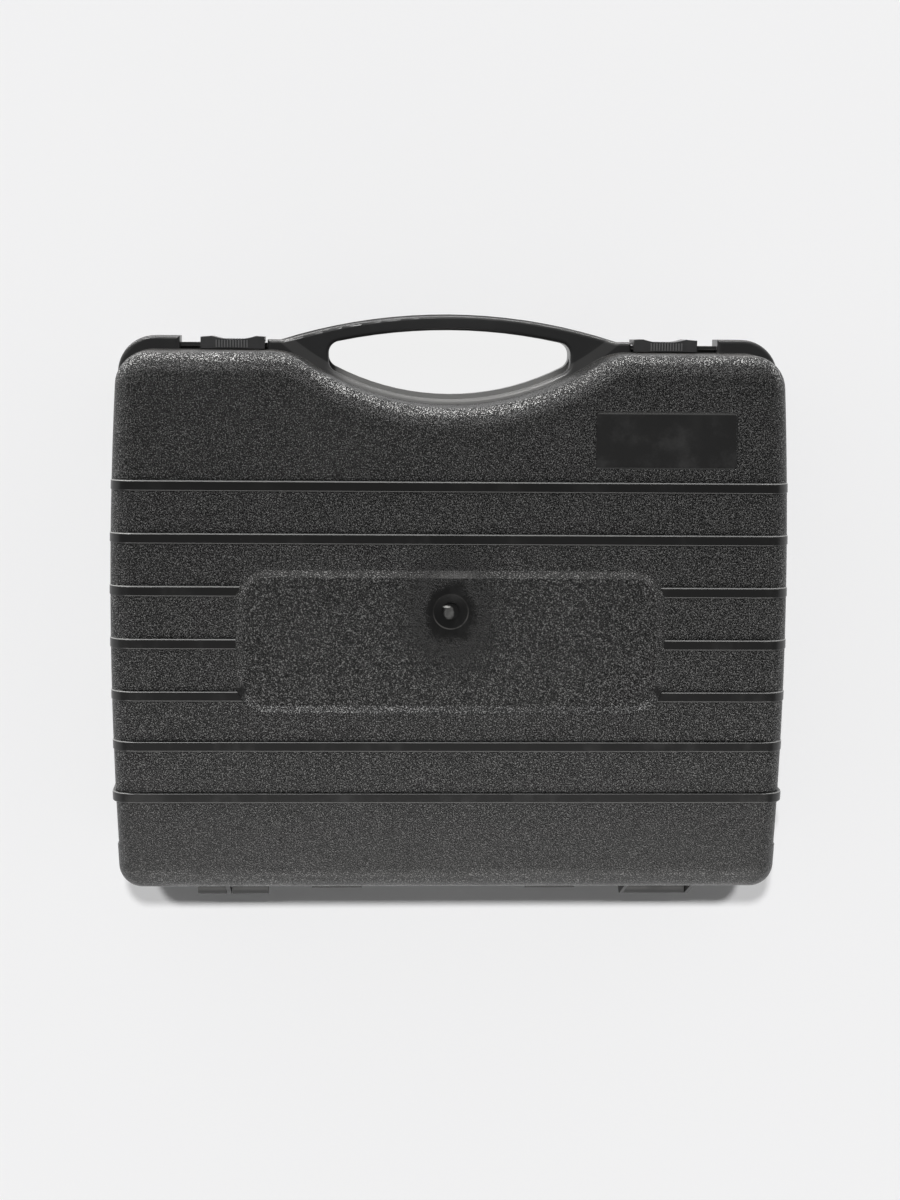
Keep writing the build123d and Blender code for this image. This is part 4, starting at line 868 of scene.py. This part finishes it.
# %% galvanised sheet
SPANGLE_SCALE, SPANGLE_WARP = 170.0, 6 * MM
ZINC_DARK, ZINC_PALE, ZINC_OXIDE = (0.40, 0.41, 0.42), (0.58, 0.59, 0.60), (0.55, 0.55, 0.53)

galvanised, tree, place = new_material("galvanised")
warp = vector(tree, "MULTIPLY", cloud(tree, place, scale=60.0, detail=2.0), (SPANGLE_WARP,) * 3)
bent = vector(tree, "ADD", place, warp)
crystal = node(tree, "TexVoronoi", {"Vector": bent, "Scale": SPANGLE_SCALE}, feature="F1")
tone = node(tree, "SeparateColor", {0: crystal.outputs["Color"]}).outputs[0]
oxide = remap(tree, cloud(tree, place, scale=22.0, detail=5.0, rough=0.65), 0.50, 0.75, to_high=0.5)
zinc = blend(tree, oxide, blend(tree, tone, ZINC_DARK, ZINC_PALE), ZINC_OXIDE)
oxide_rough = calc(tree, "ADD", multiply(tree, oxide, 0.3), 0.28)
gloss = calc(tree, "ADD", multiply(tree, tone, 0.16), oxide_rough)
fine = relief(tree, cloud(tree, place, scale=700.0, detail=3.0), 0.02 * MM)
surface(tree, {"Base Color": zinc, "Metallic": 1.0, "Roughness": gloss, "Normal": fine})
dress(
    galvanised, "partition_plate", "cover_hinge", "burner_bracket", "electrode_bracket",
    "cartridge_guide", "lock_lever", "lever_guides", "cartridge_pusher", "pusher_guides",
)
print("galvanised parts dressed")

# %% [markdown]
# ## Cast, turned and plated metal
# Castings keep the grain of their die or sand, turned brass has fine rings, and plated screws and
# pins show drawing lines. All are bare metal, so colour sits in the reflection, and roughness tells
# them apart. A stretched noise makes the lines: long in the direction of the tool, short across it.

# %% bare metals


def bare_metal(name, tint, stain, rough, lines, line_scale, relief_mm):
    """Bare metal with tool lines or casting grain, and a stain that dulls it."""
    material, tree, place = new_material(name)
    grain = cloud(tree, stretched(tree, place, lines), scale=line_scale, detail=3.0, rough=0.6)
    dull = remap(tree, cloud(tree, place, scale=55.0, detail=5.0, rough=0.65), 0.38, 0.72)
    colour = blend(tree, multiply(tree, dull, 0.6), tint, stain)
    worn = calc(tree, "ADD", multiply(tree, dull, 0.16), multiply(tree, grain, 0.10))
    surface(tree, {
        "Base Color": colour,
        "Metallic": 1.0,
        "Roughness": calc(tree, "ADD", rough, worn),
        "Normal": relief(tree, grain, relief_mm * MM),
    })
    return material


ALL_WAYS = (1.0, 1.0, 1.0)
cast_alloy = bare_metal(
    "cast_aluminium", (0.56, 0.56, 0.55), (0.36, 0.35, 0.34), rough=0.38,
    lines=ALL_WAYS, line_scale=850.0, relief_mm=0.10,
)
die_cast = bare_metal(
    "die_cast_zinc", (0.48, 0.49, 0.51), (0.34, 0.34, 0.35), rough=0.34,
    lines=ALL_WAYS, line_scale=500.0, relief_mm=0.05,
)
dress(cast_alloy, "burner_head", "mixing_tube")
dress(die_cast, "regulator_body", "regulator_cover")
print("castings dressed")

# %% drawn, rolled and turned metals
plated = bare_metal(
    "zinc_plated_steel", (0.62, 0.62, 0.63), (0.46, 0.45, 0.42), rough=0.20,
    lines=(0.08, 1.0, 1.0), line_scale=900.0, relief_mm=0.01,
)
rolled = bare_metal(
    "rolled_aluminium", (0.70, 0.70, 0.71), (0.58, 0.58, 0.58), rough=0.24,
    lines=(0.06, 1.0, 1.0), line_scale=800.0, relief_mm=0.01,
)
turned = bare_metal(
    "turned_brass", (0.62, 0.44, 0.18), (0.36, 0.24, 0.10), rough=0.22,
    lines=(1.0, 0.1, 1.0), line_scale=900.0, relief_mm=0.015,
)
dress(
    plated, "hinge_pin_left", "hinge_pin_right", "cover_hinge_pin", "foot_screws",
    "bracket_screws", "regulator_screws", "spark_electrode",
)
dress(rolled, "heat_plate")
dress(turned, "gas_jet", "valve_stem")
print("bare metals dressed")

# %% [markdown]
# ## The burner cap
# Brass near a flame turns brown and straw-coloured, most round the ports. The distance from the
# burner's centre line tells the shader where the flames stand, and a noise breaks up the edge.

# %% burner cap
BRASS, BURNT_BRASS = (0.60, 0.42, 0.17), (0.20, 0.11, 0.05)
HEAT_START, HEAT_END = 22 * MM, 33 * MM
RING_WAVES = 9000.0

cap_low, cap_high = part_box("burner_cap")
burner_middle = (cap_low + cap_high) / 2
flamed, tree, place = new_material("flamed_brass")
from_middle = vector(tree, "SUBTRACT", place, tuple(burner_middle))
from_axis = measure(tree, "LENGTH", vector(tree, "MULTIPLY", from_middle, (1, 1, 0)))
soot = cloud(tree, place, scale=160.0, detail=5.0, rough=0.65)
heat = remap(tree, calc(tree, "ADD", from_axis, multiply(tree, soot, 8 * MM)), HEAT_START, HEAT_END)
rings = calc(tree, "SINE", multiply(tree, from_axis, RING_WAVES))
sooty_rough = calc(tree, "ADD", multiply(tree, heat, 0.25), multiply(tree, soot, 0.12))
surface(tree, {
    "Base Color": blend(tree, heat, BRASS, BURNT_BRASS),
    "Metallic": 1.0,
    "Roughness": calc(tree, "ADD", 0.26, sooty_rough),
    "Normal": relief(tree, calc(tree, "ADD", rings, soot), 0.008 * MM),
})
dress(flamed, "burner_cap")
print("burner cap is", round((cap_high - cap_low).x / MM, 1), "mm across")

# %% [markdown]
# ## The dial plate
# A grey painted ring behind the knob carries raised dots that grow with the flame. They could be
# pieces of their own, but they stand proud of the plate, so their depth is enough to print them white.

# %% dial plate
DIAL_DARK, DIAL_PALE, DOT_WHITE = (0.16, 0.16, 0.165), (0.20, 0.20, 0.205), (0.78, 0.78, 0.76)

dial_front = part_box("dial_plate")[0].y
dial, tree, place = new_material("dial_print")
depth = coordinates(tree, place)[1]
dots = remap(tree, depth, dial_front + 0.2 * MM, dial_front + 0.1 * MM)
paint = blend(tree, cloud(tree, place, scale=70.0, detail=4.0), DIAL_DARK, DIAL_PALE)
rubbed = remap(tree, cloud(tree, place, scale=90.0, detail=4.0), 0.3, 0.7, to_low=0.36, to_high=0.50)
surface(tree, {
    "Base Color": blend(tree, dots, paint, DOT_WHITE),
    "Roughness": rubbed,
    "Normal": relief(tree, cloud(tree, place, scale=500.0, detail=2.0), 0.02 * MM),
})
dress(dial, "dial_plate")
undressed = [name for name in nodes if name not in dressed]
print("dial plate dressed; parts without a finish of their own:", undressed)

# %% sizes and finish
corners = [list(corner) for box in (model_box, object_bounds()) for corner in box]
print("model and looks", corners)
